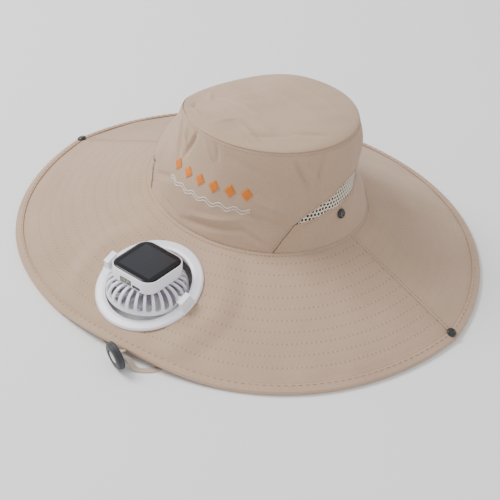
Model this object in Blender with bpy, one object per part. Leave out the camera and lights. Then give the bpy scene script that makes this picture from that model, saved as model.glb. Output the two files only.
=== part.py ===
"""Solar fan hat: a wide cloth sun hat whose front brim carries a small tilting fan with a solar panel.

Metres, +Z up, the front towards -Y. The origin lies on the surface that the hat rests on, under the
middle of the brim. Angles run round the hat from +X, so the front is at -90 degrees.

The brim is a ruled cone of cloth between the crown's base ellipse and the outline of its edge. The
crown's wall runs from that base ellipse to the top seam's ellipse, and the pieces of the wall are cut
from it by two edge lines. The fan sits in a round hole of the front brim: its ring lies flat on the
brim's slope, and its head tilts in the ring's two ears.
"""
import math

import bmesh
import bpy
import numpy as np
from mathutils import Matrix, Vector

MM = 0.001
GAP = 0.3 * MM                      # clearance between pieces that rest on each other

# Brim
BRIM_HALF_WIDTH = 219.2 * MM        # middle to the edge at each side
BRIM_FRONT = 196.3 * MM             # outline's centre to the front edge
BRIM_BACK = 179.2 * MM              # outline's centre to the back edge
BRIM_CENTRE_Y = (BRIM_FRONT - BRIM_BACK) / 2
FRONT_CORNER, BACK_CORNER = 0.028, 0.022              # how square the outline is, as a share of its radius
FRONT_DRAW, BACK_DRAW = 0.0127, 0.0441                # how far it draws in beside the side seams, as a share
BRIM_THICKNESS = 2.0 * MM
BRIM_FRONT_COLUMNS, BRIM_BACK_COLUMNS = 36, 26
BRIM_FRONT_ROWS = (0.0, 0.12, 0.3, 0.48, 0.66, 0.872, 0.952, 1.0)    # shares of the way out to the edge
BRIM_BACK_ROWS = (0.0, 0.25, 0.5, 0.75, 1.0)
LIFT_ANGLE, LIFT_SPREAD = -83.0, 30.0                 # where the edge stands off the surface, degrees
LIFT_HEIGHT = 6.2 * MM

# Bound edge
BINDING_CLOTH = 1.0 * MM
BINDING_ROOM = 0.4 * MM             # between its layers and the brim's cloth
BINDING_WIDTH = 5.5 * MM            # how far it reaches in over the back half; in front, to the brim's last row
BINDING_FLAT = 4.0 * MM             # its flat foot, inwards of the brim's edge

# Crown
CROWN_WALL = 1.6 * MM
CROWN_BASE_HEIGHT = 48.4 * MM       # wall's lower edge above the surface
CROWN_BASE_WAVE = 1.1 * MM          # the base is this much higher at the sides, lower at front and back
CROWN_BASE_CENTRE = (-0.4 * MM, 12.55 * MM)
CROWN_BASE_HALF = (103.0 * MM, 83.9 * MM)             # half width, half depth
SEAM_RISE = 86.6 * MM               # base to top seam
SEAM_CENTRE = (9.7 * MM, 16.65 * MM)
SEAM_HALF = (76.2 * MM, 73.9 * MM)
SEAM_LEAN = (0.016, -0.11)          # rise of the top seam along +X and +Y
DOME_RISE = 9.0 * MM                # top seam to the middle of the top

# Where the top seam sags; angles and spreads in degrees.
SEAM_SAGS = (
    ("angle", "spread", "depth"),
    (172.0, 70.0, 12.5 * MM),
    (120.0, 60.0, 2.0 * MM),
)
CROWN_ROWS, TOP_COLUMNS = 4, 36
NET_THICKNESS = 1.0 * MM
NET_RIB = 1.5 * MM                  # width of the net's ribs beside each gap
NET_COLUMNS, NET_ROWS = 30, 2
PANEL_SEAM_START = 41.7             # degrees from the front where the side seam leaves the brim
NET_START = 55.5                    # degrees from the front where the net starts
FRONT_COLUMNS, SIDE_SEAM_COLUMNS = 14, 3

# The wall's edge lines: degrees from the front, top of the lower piece, foot of the upper piece, both as
# shares of the rise to the top seam. Between them lies the net.
WALL_EDGES = (
    ("angle", "lower_top", "upper_foot"),
    (41.7, 0.0, 0.0),
    (47.2, 0.145, 0.145),
    (53.0, 0.283, 0.283),
    (55.5, 0.294, 0.314),
    (62.0, 0.312, 0.385),
    (73.3, 0.362, 0.463),
    (86.0, 0.385, 0.550),
    (100.0, 0.393, 0.583),
    (180.0, 0.393, 0.600),
)
# Broad bulges (+) and dents (-) of the wall: middle, height share, spread in degrees, spread in height,
# depth as a share of the crown's half width.
WALL_FORMS = (
    ("angle", "height", "angle_spread", "height_spread", "depth"),
    (-152.0, 0.42, 52.0, 0.42, 0.046),
    (34.0, 0.42, 50.0, 0.30, -0.072),
    (26.0, 0.84, 44.0, 0.24, 0.018),
    (-52.0, 0.62, 26.0, 0.36, -0.016),
    (-92.0, 0.40, 40.0, 0.40, 0.018),
    (95.0, 0.46, 70.0, 0.24, -0.030),
)
# The crown's top from seam to middle: share of the seam's radius, share of the dome's rise.
DOME_SECTIONS = (
    ("radius", "rise"),
    (1.0, 0.0),
    (0.975, 0.26),
    (0.90, 0.50),
    (0.76, 0.73),
    (0.52, 0.92),
    (0.25, 0.99),
)
# Soft dents of the top: middle along X and Y and reach, as shares of the seam's radius, and depth as a
# share of the dome's rise.
TOP_FORMS = (
    ("x", "y", "reach", "depth"),
    (-0.66, -0.50, 0.62, 0.50),
    (0.10, 0.05, 0.60, 0.10),
    (0.55, -0.62, 0.36, 0.10),
)

# Fan ring, in its own frame: the middle of the hole, Z out of the brim
FAN_SIDE = 2.0 * MM                 # off the hat's middle
FAN_FROM_EDGE = 58.5 * MM           # front edge to the ring's middle, seen from above
FAN_SETTLE = 0.5 * MM               # how far the ring presses the cloth in
RING_INNER, RING_OUTER = 37.0 * MM, 46.5 * MM
RING_THICKNESS = 3.0 * MM
SLEEVE_WALL = 2.2 * MM
SLEEVE_FOOT = 0.3 * MM              # how far the sleeve stands out below the clamp ring
CLAMP_OUTER, CLAMP_THICKNESS = 45.0 * MM, 2.0 * MM
RING_SEGMENTS = 32
FLAT_MARGIN, FLAT_FADE = 15.0 * MM, 22.0 * MM          # flat cloth round the ring, and where it fades out
EAR_WIDTH, EAR_HEIGHT = 14.0 * MM, 8.4 * MM
EAR_INSET = 2.5 * MM                # flange's inner edge to the ear's inner face
EAR_TOP = 3.6 * MM                  # thickness of the ear at its top
EAR_FOOT_MARGIN = 0.8 * MM          # ear's foot to the flange's outer edge
PIVOT_RISE = 4.0 * MM               # hinge axis above the flange
PIN_RADIUS, PIN_REACH = 2.2 * MM, 5.2 * MM
PIN_CLEARANCE = 0.25 * MM

# Fan head, in its own frame: the middle of the hinge axis, Z towards the solar panel
HEAD_PITCH = 20.0                   # degrees that the head stands back from the ring
HEAD_RADIUS = 34.5 * MM
HEAD_WALL = 1.6 * MM
HEAD_FOOT = -10.0 * MM
HEAD_TOP = 6.8 * MM
SLOT_COUNT = 28
SLOT_SHARE = 0.60                   # of each slot's pitch that is open
# Slots from their lower to their upper end: share of the head's radius, share of the way up from the
# foot to the top.
SLOT_SECTIONS = (
    ("radius", "rise"),
    (1.0, 0.35),
    (0.948, 0.68),
    (0.830, 0.90),
    (0.655, 1.0),
)
GUARD_THICKNESS = 1.4 * MM
GUARD_SPOKES, GUARD_SPOKE_SHARE = 12, 0.2
GUARD_HUB, GUARD_RIM = 9.0 * MM, 1.8 * MM
MOTOR_RADIUS, MOTOR_HEIGHT = 8.5 * MM, 5.6 * MM
HUB_RADIUS, HUB_HEIGHT = 9.5 * MM, 6.2 * MM
RUNNING_GAP = 0.4 * MM
BLADE_COUNT, BLADE_PITCH = 7, 34.0
BLADE_TIP, BLADE_THICKNESS, BLADE_DEPTH = 30.0 * MM, 1.1 * MM, 5.2 * MM

# Box and solar panel
CASE_HALF, CASE_CORNER = 23.6 * MM, 10.8 * MM
CASE_HEIGHT = 12.4 * MM
CASE_CHAMFER = 1.2 * MM
RIM_WIDTH, RIM_DEPTH = 0.9 * MM, 1.2 * MM             # white rim round the glass, and the seat behind it
GLASS_RISE, GLASS_BEVEL = 0.7 * MM, 1.5 * MM
CORNER_STEPS = 5
WINDOW_X, WINDOW_DROP = -2.6 * MM, 1.6 * MM           # along the box's front, and below its middle
WINDOW_WIDTH, WINDOW_HEIGHT, WINDOW_DEPTH = 12.0 * MM, 5.4 * MM, 1.2 * MM
PORT_X, PORT_DROP = 9.0 * MM, 2.8 * MM
PORT_WIDTH, PORT_HEIGHT, PORT_DEPTH = 8.6 * MM, 2.6 * MM, 3.0 * MM
PORT_SINK, FACE_SINK = 0.8 * MM, 0.25 * MM

# Press studs
STUD_RADIUS, STUD_HEIGHT, STUD_SEGMENTS = 4.3 * MM, 2.1 * MM, 10
STUD_SECTIONS = (
    ("radius", "rise"),
    (1.0, 0.0),
    (1.0, 0.35),
    (0.80, 0.85),
    (0.45, 1.0),
)
CROWN_STUD_ANGLE, CROWN_STUD_HEIGHT = -6.1, 0.281     # degrees, share of the rise
STUD_SEAT = 0.3 * MM                # the crown's studs sit on curved cloth, so their rim stands this much off
BRIM_STUD_INSET = 6.2 * MM          # edge to the middle of the brim's studs

# Chin strap: hand-chosen points in millimetres, from the hat to the toggle. The surface is z = 0.
STRAP_RADIUS = 1.3 * MM
STRAP_SPACING = 9.5 * MM
STRAP_RIGHT = (
    (98.7, 12.5, 51.0), (98.5, 12.4, 44.0), (97.0, 11.6, 32.0), (96.4, 8.6, 19.0), (97.0, 2.0, 8.5),
    (98.0, -9.0, 2.6), (96.0, -28.0, 1.7), (90.0, -56.0, 1.7), (85.0, -86.0, 1.7), (82.0, -112.0, 1.7),
    (77.0, -136.0, 1.7), (69.0, -157.0, 1.7), (60.5, -174.0, 1.7), (53.0, -185.5, 1.7), (43.8, -192.0, 2.4),
    (36.8, -193.2, 8.2), (32.9, -196.2, 11.8), (32.0, -199.7, 12.5),
)
STRAP_LEFT = (
    (-98.9, 12.5, 51.0), (-98.7, 12.4, 44.0), (-98.2, 11.0, 31.0), (-98.4, 6.4, 17.0), (-99.4, -2.0, 6.5),
    (-99.6, -14.0, 1.8), (-96.0, -34.0, 1.7), (-87.0, -66.0, 1.7), (-80.0, -97.0, 1.7), (-74.0, -125.0, 1.7),
    (-63.0, -149.0, 1.7), (-46.0, -166.5, 1.7), (-26.0, -175.5, 1.7), (-6.0, -180.0, 1.7), (8.0, -184.3, 1.7),
    (14.5, -186.8, 2.2), (20.0, -189.8, 3.8), (25.6, -190.0, 7.8), (28.8, -190.8, 12.0), (29.2, -194.0, 13.6),
    (27.6, -198.8, 12.7),
)
TOGGLE_CENTRE = (29.6 * MM, -200.4 * MM, 12.85 * MM)
TOGGLE_FACING = (-0.322, -0.934, -0.162)
TOGGLE_RADIUS, TOGGLE_THICKNESS = 12.3 * MM, 6.4 * MM
TOGGLE_BORE = 6.2 * MM
TOGGLE_SEGMENTS = 16
# Toggle from its back to its front: share of the radius, share of the thickness.
TOGGLE_SECTIONS = (
    ("radius", "depth"),
    (0.88, 0.0),
    (1.0, 0.12),
    (1.0, 0.42),
    (0.93, 0.50),
    (0.95, 0.80),
    (0.82, 1.0),
)
INSERT_SHARE = 0.5                  # of the toggle's thickness that its middle fills, from the front

# Colours, roughness and metallic value of each finish
FINISHES = {
    "cloth": ((0.53, 0.44, 0.36), 0.9, 0.0),
    "net": ((0.70, 0.65, 0.56), 0.9, 0.0),
    "white_plastic": ((0.86, 0.86, 0.90), 0.35, 0.0),
    "glass": ((0.03, 0.03, 0.035), 0.12, 0.0),
    "black_stud": ((0.02, 0.02, 0.02), 0.3, 0.0),
    "grey_plastic": ((0.42, 0.38, 0.43), 0.5, 0.0),
    "metal": ((0.55, 0.55, 0.57), 0.35, 1.0),
    "display": ((0.30, 0.32, 0.26), 0.25, 0.0),
    "charcoal_plastic": ((0.06, 0.065, 0.07), 0.45, 0.0),
    "cream_plastic": ((0.80, 0.72, 0.64), 0.6, 0.0),
}


def rows(table, *names):
    """Columns of a table whose first row holds their names, as arrays."""
    heads = table[0]
    return [np.array([row[heads.index(name)] for row in table[1:]], float) for name in names]


def window(distance):
    """Soft bump: 1 at 0, falling to 0 at 1 and beyond."""
    return np.cos(np.clip(np.abs(distance), 0.0, 1.0) * math.pi / 2) ** 2


def fade(value, start, end):
    """1 up to start, 0 from end on, smooth between."""
    t = np.clip((value - start) / (end - start), 0.0, 1.0)
    return 1.0 - t * t * (3.0 - 2.0 * t)


def turn(angle):
    """Angle in degrees brought between -180 and 180."""
    return (np.asarray(angle, float) + 180.0) % 360.0 - 180.0


def edge_radius(angle):
    """Outline of the bound edge: distance from the outline's centre at an angle."""
    a = np.radians(angle)
    s, c = np.sin(a), np.cos(a)
    front = s < 0
    depth = np.where(front, BRIM_FRONT, BRIM_BACK)
    corner = np.where(front, FRONT_CORNER, BACK_CORNER)
    draw = np.where(front, FRONT_DRAW, BACK_DRAW) * depth
    ellipse = 1.0 / np.sqrt((c / BRIM_HALF_WIDTH) ** 2 + (s / depth) ** 2)
    return ellipse * (1.0 + corner * np.sin(2 * a) ** 2) - draw * 4 * np.abs(s) * (1 - np.abs(s))


def edge_lift(angle):
    """How far the brim's edge stands off the surface at an angle, where the strap passes under it."""
    return LIFT_HEIGHT * window(turn(angle - LIFT_ANGLE) / LIFT_SPREAD)


def crown_base(angle):
    """Foot of the crown's wall: x, y, z at an angle."""
    a = np.radians(angle)
    return np.stack([CROWN_BASE_CENTRE[0] + CROWN_BASE_HALF[0] * np.cos(a),
                     CROWN_BASE_CENTRE[1] + CROWN_BASE_HALF[1] * np.sin(a),
                     CROWN_BASE_HEIGHT + CROWN_BASE_WAVE * np.cos(2 * a)], -1)


def brim_ends(angle):
    """Middle of the brim's cloth under the crown's foot and at its edge, and the slope between them."""
    a = np.radians(angle)
    base = crown_base(angle)
    out = np.stack([np.cos(a), np.sin(a)], -1)
    reach = edge_radius(angle) - BINDING_CLOTH - GAP
    edge = np.zeros_like(base)
    edge[..., :2] = out * reach[..., None] + np.array([0.0, BRIM_CENTRE_Y])
    span = np.linalg.norm(edge[..., :2] - base[..., :2], axis=-1)
    slope = np.arctan2(base[..., 2], span)
    half = BRIM_THICKNESS / 2
    base[..., 2] -= (half + GAP) / np.cos(slope)
    outer_half = half + BINDING_ROOM + BINDING_CLOTH
    edge[..., 2] = outer_half * np.cos(slope) + GAP * np.sin(slope) + edge_lift(angle)
    inward = (base - edge) / span[..., None]
    return base + inward * CROWN_WALL, edge, slope


def ring_frame():
    """Middle of the ring's hole on the brim's upper face, the brim's normal there and its slope."""
    base, edge, _ = brim_ends(np.array([-90.0]))
    base, edge = base[0], edge[0]
    slope = math.atan2(base[2] - edge[2], base[1] - edge[1])
    y = BRIM_CENTRE_Y - BRIM_FRONT + FAN_FROM_EDGE
    z = edge[2] + (y - edge[1]) * math.tan(slope) - FAN_SETTLE
    normal = np.array([0.0, -math.sin(slope), math.cos(slope)])
    return np.array([FAN_SIDE, y, z]) + normal * BRIM_THICKNESS / 2, normal, slope


def brim_middle(angle, share):
    """Middle of the brim's cloth at angles and shares of the way out, flattened under the fan's ring."""
    base, edge, _ = brim_ends(angle)
    # The lift of the edge dies away towards the crown.
    point = base + (edge - base) * share[..., None]
    point[..., 2] -= edge_lift(angle) * (share - share ** 3)
    centre, normal, _ = ring_frame()
    centre = centre - normal * BRIM_THICKNESS / 2
    offset = point - centre
    height = offset @ normal
    reach = np.linalg.norm(offset - height[..., None] * normal, axis=-1)
    flat = RING_OUTER + FLAT_MARGIN
    weight = fade(reach, flat, flat + FLAT_FADE) * (1.0 - fade(share, 0.0, 0.12)) * fade(share, 0.89, 1.0)
    return point - (weight * height)[..., None] * normal


def wall_surface(angle, share):
    """Outer face of the crown's wall: from its foot (share 0) to the top seam (share 1)."""
    a = np.radians(angle)
    c, s = np.cos(a), np.sin(a)
    base = crown_base(angle)
    seam = seam_line(angle)
    point = base + (seam - base) * share[..., None]
    depth = np.zeros_like(share)
    for middle, height, spread, tall, amount in zip(
            *rows(WALL_FORMS, "angle", "height", "angle_spread", "height_spread", "depth")):
        depth += amount * window(turn(angle - middle) / spread) * window((share - height) / tall)
    depth *= CROWN_BASE_HALF[0] * np.clip(share * 8, 0, 1) * np.clip((1 - share) * 8, 0, 1)
    point[..., 0] += depth * c
    point[..., 1] += depth * s
    return point


def seam_line(angle):
    """Top seam: x, y, z at an angle."""
    a = np.radians(angle)
    x = SEAM_CENTRE[0] + SEAM_HALF[0] * np.cos(a)
    y = SEAM_CENTRE[1] + SEAM_HALF[1] * np.sin(a)
    z = CROWN_BASE_HEIGHT + SEAM_RISE + SEAM_LEAN[0] * x + SEAM_LEAN[1] * (y - BRIM_CENTRE_Y)
    for middle, spread, depth in zip(*rows(SEAM_SAGS, "angle", "spread", "depth")):
        z -= depth * window(turn(angle - middle) / spread)
    return np.stack([x, y, z], -1)


def wall_inner(point, angle, share, wall, slope):
    """Inner face of a wall piece: the outer face moved in level, its foot kept clear of the brim's slope."""
    a = np.radians(angle)
    inner = point.copy()
    inner[..., 0] -= wall * np.cos(a)
    inner[..., 1] -= wall * np.sin(a)
    inner[..., 2] += wall * np.tan(slope) * np.clip(1 - share * 3, 0, 1)
    return inner


def from_front(angle):
    """Degrees away from the front, 0 to 180 on either side."""
    return np.abs(turn(np.asarray(angle, float) + 90.0))


def edge_lines(angle):
    """Top of the lower wall piece and foot of the upper one, as shares of the rise."""
    away = from_front(angle)
    angles, lower, upper = rows(WALL_EDGES, "angle", "lower_top", "upper_foot")
    return np.interp(away, angles, lower), np.interp(away, angles, upper)


def wall_columns(start, end):
    """Angles of the wall's columns between two distances past the front, in degrees, going round by +X."""
    stops = np.concatenate([
        np.linspace(-PANEL_SEAM_START, PANEL_SEAM_START, FRONT_COLUMNS + 1)[:-1],
        np.linspace(PANEL_SEAM_START, NET_START, SIDE_SEAM_COLUMNS + 1)[:-1],
        np.linspace(NET_START, 360 - NET_START, NET_COLUMNS + 1)[:-1],
        np.linspace(360 - NET_START, 360 - PANEL_SEAM_START, SIDE_SEAM_COLUMNS + 1)[:-1],
    ])
    return stops[(stops >= start - 1e-6) & (stops <= end + 1e-6)] - 90.0


def new_object(name, mesh, finish):
    """A named object of the scene with its material."""
    material = bpy.data.materials.get(finish) or bpy.data.materials.new(finish)
    colour, roughness, metallic = FINISHES[finish]
    material.use_nodes = True
    shader = material.node_tree.nodes["Principled BSDF"]
    shader.inputs["Base Color"].default_value = (*colour, 1.0)
    shader.inputs["Roughness"].default_value = roughness
    shader.inputs["Metallic"].default_value = metallic
    mesh.materials.append(material)
    mesh.shade_smooth()
    mesh.set_sharp_from_angle(angle=math.radians(40))
    item = bpy.data.objects.new(name, mesh)
    bpy.context.scene.collection.objects.link(item)
    return item


def mesh_from(name, points, faces):
    """Mesh with its faces turned outwards."""
    mesh = bpy.data.meshes.new(name)
    mesh.from_pydata([tuple(p) for p in points], [], faces)
    work = bmesh.new()
    work.from_mesh(mesh)
    bmesh.ops.recalc_face_normals(work, faces=work.faces)
    if all(edge.is_manifold for edge in work.edges) and work.calc_volume(signed=True) < 0:
        bmesh.ops.reverse_faces(work, faces=work.faces)
    work.to_mesh(mesh)
    work.free()
    return mesh


def grid_faces(height, width, closed, start=0):
    """Quads of a grid stored row by row."""
    last = width if closed else width - 1
    return [(start + r * width + c, start + r * width + (c + 1) % width,
             start + (r + 1) * width + (c + 1) % width, start + (r + 1) * width + c)
            for r in range(height - 1) for c in range(last)]


def shell(name, outer, inner, closed, finish):
    """Closed wall between two grids of the same shape, rimmed along their open sides."""
    height, width = outer.shape[:2]
    points = np.concatenate([outer.reshape(-1, 3), inner.reshape(-1, 3)])
    shift = height * width
    front = grid_faces(height, width, closed)
    faces = front + [tuple(shift + i for i in reversed(face)) for face in front]
    columns = range(width if closed else width - 1)
    for r in (0, height - 1):
        for c in columns:
            a, b = r * width + c, r * width + (c + 1) % width
            faces.append((a, b, shift + b, shift + a) if r else (b, a, shift + a, shift + b))
    if not closed:
        for c in (0, width - 1):
            for r in range(height - 1):
                a, b = r * width + c, (r + 1) * width + c
                faces.append((a, b, shift + b, shift + a) if c == 0 else (b, a, shift + a, shift + b))
    return new_object(name, mesh_from(name, points, faces), finish)


def lathe(name, profile, segments, finish, closed_profile=False):
    """Solid turned about Z from (radius, height) points; an open profile is capped at both ends."""
    angles = np.arange(segments) * 2 * math.pi / segments
    rings = [[(r * math.cos(a), r * math.sin(a), z) for a in angles] for r, z in profile]
    points = [p for ring in rings for p in ring]
    faces = grid_faces(len(profile), segments, True)
    if closed_profile:
        top = (len(profile) - 1) * segments
        faces += [(top + c, top + (c + 1) % segments, (c + 1) % segments, c) for c in range(segments)]
    else:
        faces.append(tuple(reversed(range(segments))))
        faces.append(tuple(range((len(profile) - 1) * segments, len(profile) * segments)))
    return new_object(name, mesh_from(name, points, faces), finish)


def guide(item):
    """Marks an object as a cutter or a former, which is no piece of the hat."""
    item.hide_render = True
    item.display_type = "WIRE"
    return item


def combine(item, other, operation):
    """Adds a Boolean modifier that works with a guide."""
    step = item.modifiers.new(operation.lower() + "_" + other.name, "BOOLEAN")
    step.operation = operation
    step.object = guide(other)
    step.solver = "EXACT"
    return item


def thicken(item, thickness):
    """Gives a surface a wall on the side that its faces turn away from."""
    step = item.modifiers.new("wall", "SOLIDIFY")
    step.thickness = thickness
    step.offset = -1
    step.use_even_offset = True
    return item


def sheet_normals(grid):
    """Unit normals of a grid by differences along its rows and columns."""
    along = np.gradient(grid, axis=1)
    across = np.gradient(grid, axis=0)
    normal = np.cross(along, across)
    return normal / np.linalg.norm(normal, axis=-1, keepdims=True)


def brim_angles():
    """Columns of the whole brim: the front half from -180 to 0 degrees, then the back half to 180."""
    return (np.linspace(-180.0, 0.0, BRIM_FRONT_COLUMNS + 1), np.linspace(0.0, 180.0, BRIM_BACK_COLUMNS + 1))


def brim_half(name, angles, shares):
    """One half of the brim, its ends drawn back from the side seams."""
    seam = math.degrees(GAP / 2 / CROWN_BASE_HALF[0])
    angles = angles.copy()
    angles[0] += seam
    angles[-1] -= seam
    a, s = np.meshgrid(angles, np.array(shares))
    middle = brim_middle(a, s)
    up = -sheet_normals(middle)
    half = up * BRIM_THICKNESS / 2
    return shell(name, middle - half, middle + half, False, "cloth")


def build_brim():
    """Both halves of the brim, with the fan's hole cut through the front one."""
    front_angles, back_angles = brim_angles()
    front = brim_half("brim_front", front_angles, BRIM_FRONT_ROWS)
    brim_half("brim_back", back_angles, BRIM_BACK_ROWS)
    depth = 4 * BRIM_THICKNESS
    radius = RING_INNER + SLEEVE_WALL + GAP
    cutter = lathe("fan_hole", [(radius, -depth), (radius, depth)], RING_SEGMENTS, "cloth")
    cutter.matrix_world = ring_matrix()
    combine(front, cutter, "DIFFERENCE")


def build_binding():
    """Bound edge: a folded strip round the brim's edge, flattened where it rests on the surface."""
    front_angles, back_angles = brim_angles()
    angles = np.concatenate([front_angles[:-1], back_angles[:-1]])
    shares = np.array([np.where(angles < 0, front, back)
                       for front, back in zip(BRIM_FRONT_ROWS[-3:], BRIM_BACK_ROWS[-3:])])
    around = [-1, *range(len(angles)), 0]
    middle = brim_middle(np.broadcast_to(angles, shares.shape)[:, around], shares[:, around])
    normals = -sheet_normals(middle)[:, 1:-1]
    beside, edge = middle[1:, 1:-1]
    beside_up, edge_up = normals[1:]
    down = edge - beside
    length = np.linalg.norm(down, axis=1, keepdims=True)
    down /= length
    reach = np.where(angles[:, None] < 0, 1.0, BINDING_WIDTH / length)
    end = edge - down * length * reach
    end_up = edge_up + (beside_up - edge_up) * reach
    inside = BRIM_THICKNESS / 2 + BINDING_ROOM
    outside = inside + BINDING_CLOTH
    past = GAP + BINDING_CLOTH
    rings = np.stack([
        end + end_up * outside,
        edge + edge_up * outside,
        edge + down * past - edge_up * outside,
        edge - down * BINDING_FLAT - edge_up * outside,
        end - end_up * outside,
        end - end_up * inside,
        edge + down * GAP - edge_up * inside,
        edge + down * GAP + edge_up * inside,
        end + end_up * inside,
    ])
    # The foot is level with the surface that it rests on, or with the lifted edge.
    rings[2, :, 2] = np.maximum(rings[2, :, 2], edge_lift(angles))
    rings[3, :, 2] = np.minimum(rings[3, :, 2], edge_lift(angles))
    width = len(angles)
    faces = grid_faces(len(rings), width, True)
    top = (len(rings) - 1) * width
    faces += [(top + c, top + (c + 1) % width, (c + 1) % width, c) for c in range(width)]
    new_object("brim_binding", mesh_from("brim_binding", rings.reshape(-1, 3), faces), "cloth")


def wall_piece(name, angles, low, high, count, closed, wall=CROWN_WALL, recess=0.0):
    """Part of the crown's wall between two edge lines, given as shares of the rise at each column."""
    share = low + (high - low) * np.linspace(0.0, 1.0, count + 1)[:, None]
    angle = np.broadcast_to(angles, share.shape)
    outer = wall_surface(angle, share)
    if recess:
        outer = wall_inner(outer, angle, share, recess, np.zeros_like(share))
    slope = brim_ends(angle)[2]
    return shell(name, outer, wall_inner(outer, angle, share, wall, slope), closed, "cloth")


def build_wall():
    """The wall's upper piece, its lower piece and the net between them."""
    # The gap's share of the rise, with room for the lean of the wall where the top seam sags.
    step = 1.6 * GAP / SEAM_RISE
    angles = wall_columns(-PANEL_SEAM_START, 360 - PANEL_SEAM_START)
    _, foot = edge_lines(angles)
    side = from_front(angles) > PANEL_SEAM_START + 1e-3
    wall_piece("crown_panel", angles, np.where(side, foot + step, 0.0), np.ones_like(foot), CROWN_ROWS, True)

    angles = wall_columns(PANEL_SEAM_START, 360 - PANEL_SEAM_START)
    tip = 1.2
    angles = np.concatenate([[PANEL_SEAM_START + tip - 90], angles[1:], [270 - PANEL_SEAM_START - tip]])
    top, _ = edge_lines(angles)
    wall_piece("crown_band", angles, np.zeros_like(top), top - step, 2, False)

    angles = wall_columns(NET_START, 360 - NET_START)
    low, high = edge_lines(angles)
    rows_up = np.linspace(0.0, 1.0, NET_ROWS + 1)[:, None]
    share = (low + step / 2) + (high - low - step) * rows_up
    angle = np.broadcast_to(angles, share.shape)
    recess = (CROWN_WALL - NET_THICKNESS) / 2
    outer = wall_inner(wall_surface(angle, share), angle, share, recess, np.zeros_like(share))
    mesh = mesh_from("mesh_panel", outer.reshape(-1, 3), grid_faces(NET_ROWS + 1, len(angles), False))
    pierce(mesh, len(angles) - 1)
    thicken(new_object("mesh_panel", mesh, "net"), NET_THICKNESS)


def pierce(mesh, columns):
    """Opens each cell of the net but the narrow ones at its two ends."""
    work = bmesh.new()
    work.from_mesh(mesh)
    work.faces.ensure_lookup_table()
    cells = [face for i, face in enumerate(work.faces) if 0 < i % columns < columns - 1]
    for face in work.faces:
        centre = face.calc_center_median()
        if face.normal.dot(Vector((centre.x, centre.y, 0.0))) < 0:
            face.normal_flip()
    bmesh.ops.inset_individual(work, faces=cells, thickness=NET_RIB / 2, use_even_offset=True)
    bmesh.ops.delete(work, geom=cells, context="FACES")
    work.to_mesh(mesh)
    work.free()


def build_top():
    """Domed top of the crown, on the wall's upper edge."""
    angles = np.arange(TOP_COLUMNS) * 360.0 / TOP_COLUMNS
    seam = seam_line(angles)
    radius, rise = rows(DOME_SECTIONS, "radius", "rise")

    def face(inset, height):
        a = np.radians(angles)
        direction = np.stack([np.cos(a), np.sin(a)], -1)
        half = np.array(SEAM_HALF) - inset
        grid = np.zeros((len(radius) + 1, len(angles), 3))
        share = np.append(radius, 0.0)
        up = np.append(rise, 1.0)
        grid[..., :2] = np.array(SEAM_CENTRE) + share[:, None, None] * direction * half
        centre_z = seam[:, 2].mean()
        grid[..., 2] = centre_z + (seam[:, 2] - centre_z) * share[:, None] + GAP + up[:, None] * height
        for x, y, reach, depth in zip(*rows(TOP_FORMS, "x", "y", "reach", "depth")):
            flat = (grid[..., :2] - np.array(SEAM_CENTRE)) / np.array(SEAM_HALF)
            away = np.hypot(flat[..., 0] - x, flat[..., 1] - y) / reach
            grid[..., 2] -= depth * DOME_RISE * window(away) * np.minimum(up[:, None] * 2, 1)
        return grid

    outer, inner = face(0.0, DOME_RISE), face(CROWN_WALL, DOME_RISE - CROWN_WALL)
    height, width = len(radius), len(angles)
    points = []
    faces = []
    for grid, flip in ((outer, False), (inner, True)):
        start = len(points)
        points += list(grid[:-1].reshape(-1, 3))
        points.append(grid[-1].mean(axis=0))
        pole = len(points) - 1
        last = start + (height - 1) * width
        caps = [(last + c, last + (c + 1) % width, pole) for c in range(width)]
        own = grid_faces(height, width, True, start) + caps
        faces += [tuple(reversed(f)) for f in own] if flip else own
    shift = height * width + 1
    faces += [((c + 1) % width, c, shift + c, shift + (c + 1) % width) for c in range(width)]
    new_object("crown_top", mesh_from("crown_top", points, faces), "cloth")


def ring_matrix():
    """Frame of the ring: its middle on the brim's upper face, Z out of the brim, X across the hat."""
    centre, _, slope = ring_frame()
    return Matrix.Translation(Vector(centre)) @ Matrix.Rotation(slope, 4, "X")


def head_matrix():
    """Frame of the fan's head on the hinge axis, leant back from the ring."""
    rise = GAP + RING_THICKNESS + PIVOT_RISE
    lean = Matrix.Rotation(-math.radians(HEAD_PITCH), 4, "X")
    return ring_matrix() @ Matrix.Translation((0, 0, rise)) @ lean


def empty(name, matrix):
    """Empty that carries a sub-assembly."""
    item = bpy.data.objects.new(name, None)
    bpy.context.scene.collection.objects.link(item)
    item.matrix_world = matrix
    return item


def ear(name, side):
    """One hinge ear: a wedge that stands on the flange, upright inside, sloping down outside."""
    inner = RING_INNER + EAR_INSET
    foot = RING_OUTER - EAR_FOOT_MARGIN
    base, top = RING_THICKNESS / 2, GAP + RING_THICKNESS + EAR_HEIGHT
    low = EAR_WIDTH / 2
    high = EAR_WIDTH / 2 - EAR_TOP / 2
    section = [(inner, base, low), (foot, base, low), (foot, GAP + RING_THICKNESS, low), (inner + EAR_TOP, top, high),
               (inner, top, high)]
    points = [(side * x, y * k, z) for k in (-1, 1) for x, z, y in section]
    n = len(section)
    faces = [tuple(range(n)), tuple(reversed(range(n, 2 * n)))]
    faces += [(i, (i + 1) % n, n + (i + 1) % n, n + i) for i in range(n)]
    return new_object(name, mesh_from(name, points, faces), "white_plastic")


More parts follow.
